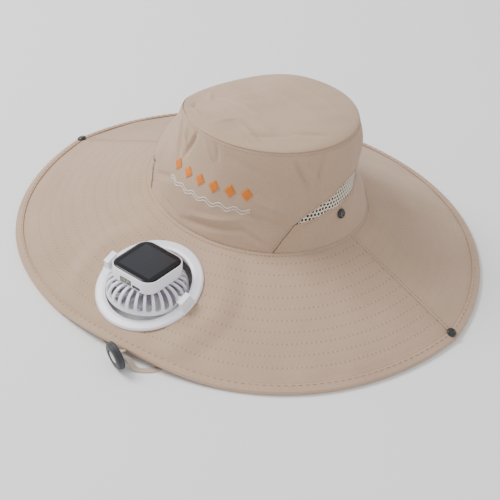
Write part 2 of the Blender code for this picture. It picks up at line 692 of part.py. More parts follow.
def build_ring(frame):
    """Flange with its sleeve and ears, and the clamp ring under the brim."""
    sleeve = RING_INNER + SLEEVE_WALL
    foot = -(BRIM_THICKNESS + GAP + CLAMP_THICKNESS + SLEEVE_FOOT)
    top = GAP + RING_THICKNESS
    profile = [
        (RING_INNER, foot), (sleeve, foot), (sleeve, GAP), (RING_OUTER, GAP),
        (RING_OUTER, GAP + 0.4 * RING_THICKNESS), (RING_OUTER - 0.4 * RING_THICKNESS, GAP + 0.85 * RING_THICKNESS),
        (sleeve + 0.3 * RING_THICKNESS, top), (RING_INNER, top - 0.1 * RING_THICKNESS),
    ]
    ring = lathe("fan_ring", profile, RING_SEGMENTS, "white_plastic", closed_profile=True)
    ring.parent = frame
    for side, word in ((1, "right"), (-1, "left")):
        wedge = ear("ear_" + word, side)
        wedge.parent = frame
        combine(ring, wedge, "UNION")
        reach = PIN_REACH + GAP
        bore = lathe("pin_bore_" + word, [(PIN_RADIUS + PIN_CLEARANCE, 0), (PIN_RADIUS + PIN_CLEARANCE, reach)], 12,
                     "white_plastic")
        bore.parent = frame
        bore.location = (side * (RING_INNER - GAP), 0, top + PIVOT_RISE)
        bore.rotation_euler = (0, side * math.pi / 2, 0)
        combine(ring, bore, "DIFFERENCE")
    clamp_top = -(BRIM_THICKNESS + GAP)
    clamp = lathe("fan_clamp_ring", [
        (sleeve + GAP, clamp_top - CLAMP_THICKNESS), (CLAMP_OUTER - GAP, clamp_top - CLAMP_THICKNESS),
        (CLAMP_OUTER, clamp_top), (sleeve + GAP, clamp_top)], RING_SEGMENTS, "white_plastic", closed_profile=True)
    clamp.parent = frame


def head_profile():
    """Outer face of the head from its foot up to the end of the slots: radii and heights."""
    radius, rise = rows(SLOT_SECTIONS, "radius", "rise")
    heights = HEAD_FOOT + rise * (HEAD_TOP - HEAD_FOOT)
    return np.concatenate([[HEAD_RADIUS], radius * HEAD_RADIUS]), np.concatenate([[HEAD_FOOT], heights])


def slotted(name, radii, heights, count, open_share, first, last, finish):
    """Surface of revolution with slots through some of its rows and a flat middle."""
    pitch = 2 * math.pi / count
    angles = [(i + 0.5 + k * open_share / 2) * pitch for i in range(count) for k in (-1, 1)]
    width = len(angles)
    points = [(r * math.cos(a), r * math.sin(a), z) for r, z in zip(radii, heights) for a in angles]
    faces = []
    for index, face in enumerate(grid_faces(len(radii), width, True)):
        r, c = divmod(index, width)
        if not (first <= r < last and c % 2 == 0):
            faces.append(face)
    pole = len(points)
    points.append((0.0, 0.0, heights[-1]))
    top = (len(radii) - 1) * width
    faces += [(top + c, top + (c + 1) % width, pole) for c in range(width)]
    mesh = mesh_from(name, points, faces)
    work = bmesh.new()
    work.from_mesh(mesh)
    inside = Vector((0.0, 0.0, heights[0] - HEAD_RADIUS))
    for face in work.faces:
        face.normal_update()
        if face.normal.dot(face.calc_center_median() - inside) < 0:
            face.normal_flip()
    work.to_mesh(mesh)
    work.free()
    return new_object(name, mesh, finish)


def build_head(frame):
    """Slotted head, lower guard, motor, impeller and hinge pins."""
    radii, heights = head_profile()
    grille = slotted("fan_grille", radii, heights, SLOT_COUNT, SLOT_SHARE, 1, len(radii) - 1, "white_plastic")
    grille.parent = frame
    thicken(grille, HEAD_WALL)

    rim = HEAD_RADIUS - HEAD_WALL - GAP
    level = HEAD_FOOT + GUARD_THICKNESS
    guard = slotted("fan_guard", [rim, rim - GUARD_RIM, GUARD_HUB], [level] * 3, GUARD_SPOKES,
                    1 - GUARD_SPOKE_SHARE, 1, 2, "white_plastic")
    guard.parent = frame
    thicken(guard, GUARD_THICKNESS)

    motor_top = HEAD_TOP - HEAD_WALL - GAP
    motor_foot = motor_top - MOTOR_HEIGHT
    motor = lathe("fan_motor", [(MOTOR_RADIUS, motor_foot), (MOTOR_RADIUS, motor_top)], 16, "metal")
    motor.parent = frame
    build_impeller(frame, motor_foot - RUNNING_GAP)

    for side, word in ((1, "right"), (-1, "left")):
        start = HEAD_RADIUS
        length = RING_INNER - GAP + PIN_REACH - start
        pin = lathe("hinge_pin_" + word, [(PIN_RADIUS, 0), (PIN_RADIUS, length)], 12, "white_plastic")
        pin.parent = frame
        pin.location = (side * start, 0, 0)
        pin.rotation_euler = (0, side * math.pi / 2, 0)


def build_impeller(frame, top):
    """Hub with pitched blades, hung under the motor."""
    hub = lathe("fan_impeller", [(HUB_RADIUS - MM, top - HUB_HEIGHT), (HUB_RADIUS, top - HUB_HEIGHT + MM),
                                 (HUB_RADIUS, top)], 16, "grey_plastic")
    hub.parent = frame
    points, faces = [], []
    corners = [(x, y) for x in (HUB_RADIUS - MM, BLADE_TIP) for y in (-0.5, 0.5)]
    for i in range(BLADE_COUNT):
        place = Matrix.Rotation(2 * math.pi * i / BLADE_COUNT, 4, "Z")
        start = len(points)
        for x, side in corners:
            # Blades widen and flatten towards the tip.
            share = (x - HUB_RADIUS) / (BLADE_TIP - HUB_RADIUS)
            pitch = math.radians(BLADE_PITCH * (1.1 - 0.5 * share))
            chord = BLADE_DEPTH / math.sin(pitch) * 0.85
            for thick in (-0.5, 0.5):
                y, z = side * chord, thick * BLADE_THICKNESS
                spin = Vector((x, y * math.cos(pitch) - z * math.sin(pitch), y * math.sin(pitch) + z * math.cos(pitch)))
                points.append(place @ (spin + Vector((0, 0, top - HUB_HEIGHT / 2))))
        faces += [tuple(start + k for k in f) for f in
                  ((0, 2, 3, 1), (4, 5, 7, 6), (0, 1, 5, 4), (2, 6, 7, 3), (0, 4, 6, 2), (1, 3, 7, 5))]
    blades = new_object("impeller_blades", mesh_from("impeller_blades", points, faces), "grey_plastic")
    blades.parent = frame
    combine(hub, blades, "UNION")


def rounded_square(half, corner):
    """Points of a square with round corners, counter-clockwise."""
    points = []
    for quarter in range(4):
        start = quarter * math.pi / 2
        for step in range(CORNER_STEPS + 1):
            a = start + step * math.pi / 2 / CORNER_STEPS
            cx = (half - corner) * (1 if quarter in (0, 3) else -1)
            cy = (half - corner) * (1 if quarter in (0, 1) else -1)
            points.append((cx + corner * math.cos(a), cy + corner * math.sin(a)))
    return points


def stacked(name, levels, finish):
    """Solid through a stack of rounded squares: (half width, corner radius, height) for each level."""
    points = [(x, y, z) for half, corner, z in levels for x, y in rounded_square(half, corner)]
    width = 4 * (CORNER_STEPS + 1)
    faces = grid_faces(len(levels), width, True)
    faces += [tuple(reversed(range(width))), tuple(range((len(levels) - 1) * width, len(levels) * width))]
    return new_object(name, mesh_from(name, points, faces), finish)


def plate(name, size, centre, finish):
    """Plain block by its size and centre."""
    points = [tuple(c + s * k / 2 for c, s, k in zip(centre, size, signs))
              for signs in ((x, y, z) for x in (-1, 1) for y in (-1, 1) for z in (-1, 1))]
    faces = [(0, 1, 3, 2), (4, 6, 7, 5), (0, 4, 5, 1), (2, 3, 7, 6), (0, 2, 6, 4), (1, 5, 7, 3)]
    return new_object(name, mesh_from(name, points, faces), finish)


def build_case(frame):
    """Box, solar panel, display window and charging port."""
    foot = HEAD_TOP + GAP
    top = foot + CASE_HEIGHT
    seat = CASE_HALF - RIM_WIDTH
    seat_corner = CASE_CORNER - RIM_WIDTH
    case = stacked("power_case", [
        (CASE_HALF - CASE_CHAMFER, CASE_CORNER - CASE_CHAMFER, foot), (CASE_HALF, CASE_CORNER, foot + CASE_CHAMFER),
        (CASE_HALF, CASE_CORNER, top - RIM_WIDTH / 2), (CASE_HALF - RIM_WIDTH / 2, CASE_CORNER - RIM_WIDTH / 2, top),
        (seat, seat_corner, top), (seat, seat_corner, top - RIM_DEPTH)], "white_plastic")
    case.parent = frame
    glass_half, glass_corner = seat - GAP, seat_corner - GAP
    glass = stacked("solar_panel", [
        (glass_half, glass_corner, top - RIM_DEPTH + GAP), (glass_half, glass_corner, top),
        (glass_half - GLASS_BEVEL, glass_corner - GLASS_BEVEL, top + GLASS_RISE)], "glass")
    glass.parent = frame

    middle = (foot + top) / 2
    window_z, port_z = middle - WINDOW_DROP, middle - PORT_DROP
    pocket = plate("window_pocket", (WINDOW_WIDTH + 2 * GAP, 2 * (WINDOW_DEPTH + GAP + FACE_SINK),
                                     WINDOW_HEIGHT + 2 * GAP), (WINDOW_X, -CASE_HALF, window_z), "white_plastic")
    pocket.parent = frame
    combine(case, pocket, "DIFFERENCE")
    screen = plate("display_window", (WINDOW_WIDTH, WINDOW_DEPTH, WINDOW_HEIGHT),
                   (WINDOW_X, -CASE_HALF + FACE_SINK + WINDOW_DEPTH / 2, window_z), "display")
    screen.parent = frame
    socket_depth = PORT_SINK + PORT_DEPTH
    slot = plate("port_pocket", (PORT_WIDTH + 2 * GAP, 2 * (socket_depth + GAP), PORT_HEIGHT + 2 * GAP),
                 (PORT_X, -CASE_HALF, port_z), "white_plastic")
    slot.parent = frame
    combine(case, slot, "DIFFERENCE")
    port = plate("usb_port", (PORT_WIDTH, PORT_DEPTH, PORT_HEIGHT),
                 (PORT_X, -CASE_HALF + PORT_SINK + PORT_DEPTH / 2, port_z), "black_stud")
    port.parent = frame


def stud(name, place, facing):
    """Press stud on a surface: a shallow cap with a dimple."""
    radius, rise = rows(STUD_SECTIONS, "radius", "rise")
    item = lathe(name, list(zip(radius * STUD_RADIUS, rise * STUD_HEIGHT)), STUD_SEGMENTS, "black_stud")
    item.rotation_mode = "QUATERNION"
    item.rotation_quaternion = Vector(facing).to_track_quat("Z", "Y")
    item.location = Vector(place)


def build_studs():
    """Studs on both sides of the crown and at the ends of the brim's side seams."""
    for word, angle, mirror in (("right", CROWN_STUD_ANGLE, 0.0), ("left", -180.0 - CROWN_STUD_ANGLE, 180.0)):
        share = CROWN_STUD_HEIGHT
        point, around, above = wall_surface(np.array([angle, angle + 2.0, angle]), np.array([share, share, share + 0.03]))
        facing = np.cross(around - point, above - point)
        facing /= np.linalg.norm(facing)
        stud("crown_snap_" + word, point + facing * (GAP + STUD_SEAT), facing)
        base, edge, _ = brim_ends(np.array([mirror]))
        down = (edge - base)[0]
        down /= np.linalg.norm(down)
        level = np.array([math.copysign(1.0, down[0]), 0.0, 0.0])
        up = level * -down[2] + np.array([0.0, 0.0, 1.0]) * abs(down[0])
        up /= np.linalg.norm(up)
        inset = BRIM_STUD_INSET - BINDING_CLOTH - GAP
        rise = BRIM_THICKNESS / 2 + BINDING_ROOM + BINDING_CLOTH + GAP
        stud("brim_snap_" + word, edge[0] - down * inset + up * rise, up)


def smooth_route(points, spacing):
    """Points at even steps along a smooth curve (centripetal Catmull-Rom) through the chosen ones."""
    route = [Vector(p) * MM for p in points]
    route = [route[0] * 2 - route[1]] + route + [route[-1] * 2 - route[-2]]
    fine = []
    for p0, p1, p2, p3 in zip(route, route[1:], route[2:], route[3:]):
        t0 = 0.0
        t1 = t0 + math.sqrt((p1 - p0).length)
        t2 = t1 + math.sqrt((p2 - p1).length)
        t3 = t2 + math.sqrt((p3 - p2).length)
        for step in range(24):
            t = t1 + (t2 - t1) * step / 24
            a1 = p0 * ((t1 - t) / (t1 - t0)) + p1 * ((t - t0) / (t1 - t0))
            a2 = p1 * ((t2 - t) / (t2 - t1)) + p2 * ((t - t1) / (t2 - t1))
            a3 = p2 * ((t3 - t) / (t3 - t2)) + p3 * ((t - t2) / (t3 - t2))
            b1 = a1 * ((t2 - t) / (t2 - t0)) + a2 * ((t - t0) / (t2 - t0))
            b2 = a2 * ((t3 - t) / (t3 - t1)) + a3 * ((t - t1) / (t3 - t1))
            fine.append(b1 * ((t2 - t) / (t2 - t1)) + b2 * ((t - t1) / (t2 - t1)))
    fine.append(route[-2])
    fine = np.array(fine)
    run = np.concatenate([[0.0], np.cumsum(np.linalg.norm(np.diff(fine, axis=0), axis=1))])
    count = int(round(run[-1] / spacing)) + 1
    at = np.linspace(0.0, run[-1], count)
    return np.stack([np.interp(at, run, fine[:, k]) for k in range(3)], -1)


def strap(name, points):
    """One strand of the chin strap, as a plain tube."""
    route = smooth_route(points, STRAP_SPACING)
    curve = bpy.data.curves.new(name, "CURVE")
    curve.dimensions = "3D"
    curve.bevel_depth = STRAP_RADIUS
    curve.bevel_resolution = 2
    curve.use_fill_caps = True
    line = curve.splines.new("POLY")
    line.points.add(len(route) - 1)
    for place, point in zip(line.points, route):
        place.co = (*point, 1.0)
    curve.materials.append(bpy.data.materials["cloth"])
    item = bpy.data.objects.new(name, curve)
    bpy.context.scene.collection.objects.link(item)


def build_strap():
    """Both strands, the toggle that they end in and its middle."""
    strap("strap_right", STRAP_RIGHT)
    strap("strap_left", STRAP_LEFT)
    turnto = Vector(TOGGLE_FACING).to_track_quat("Z", "Y").to_matrix().to_4x4()
    frame = empty("toggle_frame", Matrix.Translation(Vector(TOGGLE_CENTRE)) @ turnto)
    radius, depth = rows(TOGGLE_SECTIONS, "radius", "depth")
    heights = (depth - 0.5) * TOGGLE_THICKNESS
    profile = [(TOGGLE_BORE, heights[0])] + list(zip(radius * TOGGLE_RADIUS, heights)) + [(TOGGLE_BORE, heights[-1])]
    toggle = lathe("strap_toggle", profile, TOGGLE_SEGMENTS, "charcoal_plastic", closed_profile=True)
    toggle.parent = frame
    face = TOGGLE_THICKNESS / 2
    foot = face - INSERT_SHARE * TOGGLE_THICKNESS
    insert = lathe("toggle_insert", [(TOGGLE_BORE - GAP, foot), (TOGGLE_BORE - GAP, face - MM), (TOGGLE_BORE - 2 * MM, face)],
                   TOGGLE_SEGMENTS, "cream_plastic")
    insert.parent = frame




def main():
    """Builds the whole hat."""
    for item in list(bpy.data.objects):
        bpy.data.objects.remove(item)
    build_brim()
    build_binding()
    build_wall()
    build_top()
    ring = empty("ring_frame", ring_matrix())
    head = empty("head_frame", head_matrix())
    build_ring(ring)
    build_head(head)
    build_case(head)
    build_studs()
    build_strap()


main()
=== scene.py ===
"""Looks of the solar fan hat: cloth, net, stitching, moulded plastic, glass, light and camera.

Every length is in metres, in the frame's own axes: +Z up, the front towards -Y, angles round the hat
in degrees from +X, so that the front is at -90. The cloth pieces are smooth surfaces over the same
forms as the solids that they replace.
"""

import logging
import math
from dataclasses import dataclass, field
from enum import Enum
from typing import Iterable, Sequence

import bpy
import numpy as np
from mathutils import Matrix, Vector


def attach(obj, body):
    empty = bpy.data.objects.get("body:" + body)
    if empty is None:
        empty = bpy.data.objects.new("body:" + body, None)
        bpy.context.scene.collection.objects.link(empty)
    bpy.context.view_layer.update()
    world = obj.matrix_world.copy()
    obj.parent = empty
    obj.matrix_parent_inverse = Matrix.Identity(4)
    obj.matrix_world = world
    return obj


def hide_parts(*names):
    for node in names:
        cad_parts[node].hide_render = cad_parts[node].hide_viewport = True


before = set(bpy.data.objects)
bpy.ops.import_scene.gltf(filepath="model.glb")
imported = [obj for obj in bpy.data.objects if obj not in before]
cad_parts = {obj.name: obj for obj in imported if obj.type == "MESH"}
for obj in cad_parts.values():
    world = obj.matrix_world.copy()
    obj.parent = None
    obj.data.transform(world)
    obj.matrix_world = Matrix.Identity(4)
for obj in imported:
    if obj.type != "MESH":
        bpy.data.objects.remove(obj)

LOG = logging.getLogger("hat")
MM = 0.001
Array = np.ndarray
Colour = tuple[float, float, float]


class Body(Enum):
    """Rigid bodies that the pieces ride on."""

    HAT = "hat"
    HEAD = "fan_head"
    IMPELLER = "impeller"


class Side(Enum):
    """Sides of the hat, by the sign of X."""

    RIGHT = 1
    LEFT = -1


# Small numeric helpers


def window(distance: Array | float) -> Array:
    """Soft bump: the squared cosine of a quarter turn, 1 at distance 0 and 0 from distance 1 on."""
    return np.cos(np.clip(np.abs(distance), 0.0, 1.0) * math.pi / 2) ** 2


def fade(value: Array | float, start: float, end: float) -> Array:
    """1 up to start and 0 from end on, with the cubic 3t^2 - 2t^3 between."""
    t = np.clip((np.asarray(value, float) - start) / (end - start), 0.0, 1.0)
    return 1.0 - t * t * (3.0 - 2.0 * t)


def turn(angle: Array | float) -> Array:
    """Angle in degrees brought between -180 and 180."""
    return (np.asarray(angle, float) + 180.0) % 360.0 - 180.0


def unit(vectors: Array) -> Array:
    """Vectors divided by their length."""
    return vectors / np.maximum(np.linalg.norm(vectors, axis=-1, keepdims=True), 1e-12)


def ripple(x: Array, y: Array, size: float, seed: int) -> Array:
    """Smooth random height between about -1 and 1: a sum of eight sine waves in seeded directions.

    Args:
        x, y: Places in metres.
        size: Typical distance between crests, in metres.
        seed: Seed of the directions and phases.
    """
    random = np.random.default_rng(seed)
    total = np.zeros_like(np.asarray(x, float))
    for way, phase, stretch in zip(random.uniform(0, math.pi, 8), random.uniform(0, 6.28, 8),
                                   random.uniform(0.6, 1.6, 8)):
        total += np.sin((x * math.cos(way) + y * math.sin(way)) * 2 * math.pi * stretch / size + phase)
    return total / 3.2


def arc(points: Array) -> Array:
    """Distance run along a line of points, 0 at its start."""
    return np.concatenate([[0.0], np.cumsum(np.linalg.norm(np.diff(points, axis=0), axis=1))])


def runs(grid: Array) -> Array:
    """Distance run along each row of a grid of points, 0 at its start."""
    step = np.linalg.norm(np.diff(grid, axis=1), axis=-1)
    return np.concatenate([np.zeros((len(grid), 1)), np.cumsum(step, axis=1)], axis=1)


def normals_of(grid: Array, closed: bool) -> Array:
    """Unit normals of a grid of points: the cross product of its differences along columns and rows."""
    if closed:
        along = np.roll(grid, -1, axis=1) - np.roll(grid, 1, axis=1)
    else:
        along = np.gradient(grid, axis=1)
    return unit(np.cross(along, np.gradient(grid, axis=0)))


# Meshes


def quads_of(rows: int, columns: int, closed: bool, start: int = 0) -> Array:
    """Corner numbers of a grid's quads, row by row; a closed grid joins its last column to its first."""
    last = columns if closed else columns - 1
    r, c = np.meshgrid(np.arange(rows - 1), np.arange(last), indexing="ij")
    after = (c + 1) % columns
    corners = [r * columns + c, r * columns + after, (r + 1) * columns + after, (r + 1) * columns + c]
    return start + np.stack(corners, -1).reshape(-1, 4)


def capped(rows: int, columns: int) -> list[list[int]]:
    """Faces of a closed grid with a flat cap at both ends."""
    faces = quads_of(rows, columns, True).tolist()
    return faces + [list(range(columns))[::-1], list(range((rows - 1) * columns, rows * columns))]


def make_mesh(name: str, points: Array, faces: Sequence, material: bpy.types.Material,
              uvs: dict[str, Array] | None = None, sharp: float = 50.0) -> bpy.types.Object:
    """A smooth-shaded object from points and faces.

    Args:
        name: Name of the piece.
        points: Points, any shape that ends in 3.
        faces: Corner numbers of each face.
        material: Its finish.
        uvs: For each UV map's name, a pair of numbers for each point.
        sharp: Angle in degrees from which an edge stays sharp.

    Returns:
        The object, linked to the scene.
    """
    mesh = bpy.data.meshes.new(name)
    mesh.from_pydata(points.reshape(-1, 3).tolist(), [], [list(map(int, face)) for face in faces])
    corner = np.empty(len(mesh.loops), dtype=np.int32)
    mesh.loops.foreach_get("vertex_index", corner)
    for title, values in (uvs or {}).items():
        layer = mesh.uv_layers.new(name=title)
        layer.data.foreach_set("uv", values.reshape(-1, 2)[corner].astype(np.float32).ravel())
    mesh.materials.append(material)
    mesh.shade_smooth()
    mesh.set_sharp_from_angle(angle=math.radians(sharp))
    item = bpy.data.objects.new(name, mesh)
    bpy.context.scene.collection.objects.link(item)
    return item


def shell_faces(outer: Array, inner: Array, closed: bool, gone: Array | None = None) -> tuple[Array, Array]:
    """Points and faces of a wall between two grids, rimmed along every open edge.

    Args:
        outer, inner: Grids of the same shape.
        closed: Whether the last column joins the first.
        gone: Marks points whose faces are left out.

    Returns:
        The points of both grids and the corner numbers of all the quads.
    """
    rows, columns = outer.shape[:2]
    shift = rows * columns
    front = quads_of(rows, columns, closed)
    if gone is not None:
        front = front[~gone[front].any(axis=1)]
    edges = np.concatenate([front[:, [k, (k + 1) % 4]] for k in range(4)])
    key = edges[:, 0] * shift + edges[:, 1]
    open_edges = edges[~np.isin(key, edges[:, 1] * shift + edges[:, 0])]
    a, b = open_edges.T
    rim = np.stack([b, a, shift + a, shift + b], -1)
    return np.concatenate([outer.reshape(-1, 3), inner.reshape(-1, 3)]), np.concatenate(
        [front, shift + front[:, ::-1], rim])


def shell(name: str, outer: Array, inner: Array, closed: bool, material: bpy.types.Material,
          uvs: dict[str, Array] | None = None, gone: Array | None = None) -> bpy.types.Object:
    """Wall between an outer and an inner grid of the same shape, as one object without loose points."""
    points, faces = shell_faces(outer, inner, closed, gone)
    used, faces = np.unique(faces, return_inverse=True)
    both = {title: np.concatenate([uv.reshape(-1, 2)] * 2)[used] for title, uv in (uvs or {}).items()}
    return make_mesh(name, points[used], faces.reshape(-1, 4), material, both)


def lathe(name: str, profile: Array, material: bpy.types.Material, place: Matrix,
          segments: int = 96, loop: bool = False, sharp: float = 50.0) -> bpy.types.Object:
    """Profile of (radius, height) turned about Z, set in place; an open one starts and ends on the axis."""
    a = np.arange(segments) * 2 * math.pi / segments
    radius, height = np.asarray(profile, float).T
    ring = np.stack([radius[:, None] * np.cos(a), radius[:, None] * np.sin(a),
                     np.broadcast_to(height[:, None], (len(radius), segments))], -1)
    if loop:
        ring = np.concatenate([ring, ring[:1]])
        faces = quads_of(len(radius) + 1, segments, True) % (len(radius) * segments)
        ring = ring[:-1]
    else:
        faces = quads_of(len(radius), segments, True)
    return make_mesh(name, placed(ring, place), faces, material, sharp=sharp)


def facing_place(place: Sequence[float], facing: Sequence[float]) -> Matrix:
    """Matrix that puts a part's origin on a place and turns its +Z to a direction."""
    return Matrix.Translation(Vector(place)) @ Vector(facing).to_track_quat("Z", "Y").to_matrix().to_4x4()


def placed(points: Array, place: Matrix) -> Array:
    """Points moved by a 4x4 matrix."""
    m = np.array(place)
    return points @ m[:3, :3].T + m[:3, 3]


def rounded(points: Sequence[tuple[float, float]], radius: float, steps: int = 4,
            closed: bool = False) -> Array:
    """Polyline with its corners rounded: each corner gives way to a quadratic curve that starts and
    ends at the radius from it, or at a third of the shorter side."""
    line = np.asarray(points, float)
    out = [] if closed else [line[0]]
    count = len(line)
    for i in range(0 if closed else 1, count if closed else count - 1):
        before, here, after = line[i - 1], line[i], line[(i + 1) % count]
        for_in, for_out = before - here, after - here
        cut = min(radius, np.linalg.norm(for_in) / 3, np.linalg.norm(for_out) / 3)
        start = here + for_in / np.linalg.norm(for_in) * cut
        end = here + for_out / np.linalg.norm(for_out) * cut
        for t in np.linspace(0.0, 1.0, steps + 1):
            out.append(start * (1 - t) ** 2 + here * 2 * t * (1 - t) + end * t * t)
    if not closed:
        out.append(line[-1])
    return np.array(out)


def tube(name: str, path: Array, section: Array, side: Array,
         material: bpy.types.Material) -> bpy.types.Object:
    """Section of (across, up) points carried along a path, closed at both ends by flat caps.

    Args:
        path: Points of the middle line.
        side: For each point of the path, the unit direction of the section's first axis.
    """
    ahead = unit(np.gradient(path, axis=0))
    side = unit(side - (side * ahead).sum(-1, keepdims=True) * ahead)
    up = np.cross(side, ahead)
    points = path[:, None] + section[None, :, :1] * side[:, None] + section[None, :, 1:] * up[:, None]
    return make_mesh(name, points, capped(*points.shape[:2]), material)


# Finishes


class Graph:
    """Small builder for the nodes of one material."""

    def __init__(self, name: str, colour: Colour, roughness: float) -> None:
        self.material = bpy.data.materials.new(name)
        self.material.use_nodes = True
        self.tree = self.material.node_tree
        self.shader = self.tree.nodes["Principled BSDF"]
        self.shader.inputs["Base Color"].default_value = (*colour, 1.0)
        self.shader.inputs["Roughness"].default_value = roughness

    def node(self, kind: str, inputs: dict | None = None, **settings) -> bpy.types.Node:
        """Adds a shader node, with its settings and its inputs by name or number."""
        item = self.tree.nodes.new("ShaderNode" + kind)
        for key, value in settings.items():
            setattr(item, key, value)
        for key, value in (inputs or {}).items():
            self.feed(item.inputs[key], value)
        return item

    def feed(self, socket: bpy.types.NodeSocket, value) -> None:
        """Links a socket to the input, or sets the input's value."""
        if isinstance(value, bpy.types.NodeSocket):
            self.tree.links.new(value, socket)
        else:
            socket.default_value = value

    def math(self, operation: str, a, b=0.0) -> bpy.types.NodeSocket:
        """One Math node."""
        return self.node("Math", {0: a, 1: b}, operation=operation).outputs[0]

    def ramp(self, value, low: float, high: float, start: float = 0.0,
             end: float = 1.0) -> bpy.types.NodeSocket:
        """Smooth step of the value from low to high, going from start to end."""
        return self.node("MapRange", {"Value": value, "From Min": low, "From Max": high, "To Min": start,
                                      "To Max": end}, interpolation_type="SMOOTHSTEP").outputs[0]

    def mix(self, factor, first, second) -> bpy.types.NodeSocket:
        """Colour between two colours."""
        item = self.node("Mix", {"Factor": factor}, data_type="RGBA")
        for socket, value in ((item.inputs[6], first), (item.inputs[7], second)):
            self.feed(socket, (*value, 1.0) if isinstance(value, tuple) and len(value) == 3 else value)
        return item.outputs[2]

    def noise(self, scale: float, detail: float = 2.0, source=None) -> bpy.types.NodeSocket:
        """Noise value on the object's own coordinates, or on another vector."""
        vector = source or self.node("TexCoord").outputs["Object"]
        return self.node("TexNoise", {"Vector": vector, "Scale": scale, "Detail": detail}).outputs[0]

    def uv(self, title: str) -> tuple[bpy.types.NodeSocket, bpy.types.NodeSocket]:
        """The two numbers of a UV map."""
        parts = self.node("SeparateXYZ", {0: self.node("UVMap", uv_map=title).outputs[0]})
        return parts.outputs[0], parts.outputs[1]

    def off_half(self, value) -> bpy.types.NodeSocket:
        """How far the value's fraction is from one half."""
        return self.math("ABSOLUTE", self.math("SUBTRACT", self.math("FRACT", value), 0.5))

    def off_middle(self, title: str) -> bpy.types.NodeSocket:
        """The larger of a UV map's two numbers, without their signs."""
        u, v = self.uv(title)
        return self.math("MAXIMUM", self.math("ABSOLUTE", u), self.math("ABSOLUTE", v))

    def relief(self, height, distance: float, strength: float = 1.0) -> None:
        """Bump on the shader, on top of what is there already."""
        inputs = {"Height": height, "Distance": distance, "Strength": strength}
        link = self.shader.inputs["Normal"].links
        if link:
            inputs["Normal"] = link[0].from_socket
        self.feed(self.shader.inputs["Normal"], self.node("Bump", inputs).outputs[0])


@dataclass(frozen=True)
class ClothFinish:
    """Woven cotton: mottled colour, a fine weave, and rows of stitching where the piece has them, with
    painted shade in the stitch holes.

    The weave is the product of two sine waves of a UV map in metres. A row of stitches lies on each
    whole number of the second UV map's v, and a stitch between each two whole numbers of its u.
    """

    name: str
    colour: Colour
    deep: Colour
    stitched: bool = False
    stitch_strength: float = 1.0
    thread_pitch: float = 0.9 * MM
    row_gap: float = 9.8 * MM

    def material(self) -> bpy.types.Material:
        """Builds the material."""
        g = Graph(self.name, self.colour, 0.92)
        g.shader.inputs["Sheen Weight"].default_value = 0.15
        g.shader.inputs["Sheen Roughness"].default_value = 0.5
        broad = g.ramp(g.noise(16.0, 3.0), 0.3, 0.7)
        fine = g.ramp(g.noise(700.0, 1.0), 0.25, 0.75)
        tone = g.math("ADD", g.math("MULTIPLY", broad, 0.55), g.math("MULTIPLY", fine, 0.45))
        colour = g.mix(tone, self.deep, self.colour)
        u, v = g.uv("cloth")
        wave = 2 * math.pi / self.thread_pitch
        weave = g.math("MULTIPLY", g.math("SINE", g.math("MULTIPLY", u, wave)),
                       g.math("SINE", g.math("MULTIPLY", v, wave)))
        g.relief(weave, 0.06 * MM, 0.6)
        g.relief(g.noise(90.0, 4.0), 0.5 * MM, 0.35)
        if self.stitched:
            along, across = g.uv("rows")
            off_row = g.math("MULTIPLY", g.off_half(g.math("ADD", across, 0.5)), self.row_gap / MM)
            off_stitch = g.off_half(along)
            row = g.ramp(off_row, 0.25, 0.75, 1.0, 0.0)
            hole = g.math("MULTIPLY", g.ramp(off_row, 0.35, 0.95, 1.0, 0.0), g.ramp(off_stitch, 0.27, 0.40))
            thread = g.math("MULTIPLY", row, g.ramp(off_stitch, 0.22, 0.34, 1.0, 0.0))
            pale = tuple(min(1.0, c * 1.16) for c in self.colour)
            # hole_shade: painted shade, the cloth's colour darkened in the stitch holes where the pits lie in
            # shade
            hole_shade = tuple(c * 0.42 for c in self.colour)
            colour = g.mix(g.math("MULTIPLY", thread, 0.45 * self.stitch_strength), colour, pale)
            colour = g.mix(g.math("MULTIPLY", hole, 0.62 * self.stitch_strength), colour, hole_shade)
            dip = g.math("ADD", g.ramp(off_row, 0.0, 2.2, 0.0, 1.0), g.math("MULTIPLY", thread, 0.5))
            g.relief(g.math("SUBTRACT", dip, hole), 0.5 * MM, 0.5 * self.stitch_strength)
        g.feed(g.shader.inputs["Base Color"], colour)
        return g.material


@dataclass(frozen=True)
class PlasticFinish:
    """Moulded plastic: one colour with a faint cloud and a fine moulded skin."""

    name: str
    colour: Colour
    roughness: float = 0.3
    coat: float = 0.0
    cloud: float = 0.05

    def material(self) -> bpy.types.Material:
        """Builds the material."""
        g = Graph(self.name, self.colour, self.roughness)
        g.shader.inputs["Coat Weight"].default_value = self.coat
        g.shader.inputs["Coat Roughness"].default_value = 0.12
        deep = tuple(c * (1 - self.cloud) for c in self.colour)
        g.feed(g.shader.inputs["Base Color"], g.mix(g.ramp(g.noise(60.0, 3.0), 0.3, 0.7), deep, self.colour))
        g.feed(g.shader.inputs["Roughness"],
               g.ramp(g.noise(240.0, 2.0), 0.2, 0.8, self.roughness * 0.85, self.roughness * 1.15))
        g.relief(g.noise(1500.0, 2.0), 0.03 * MM, 0.5)
        return g.material


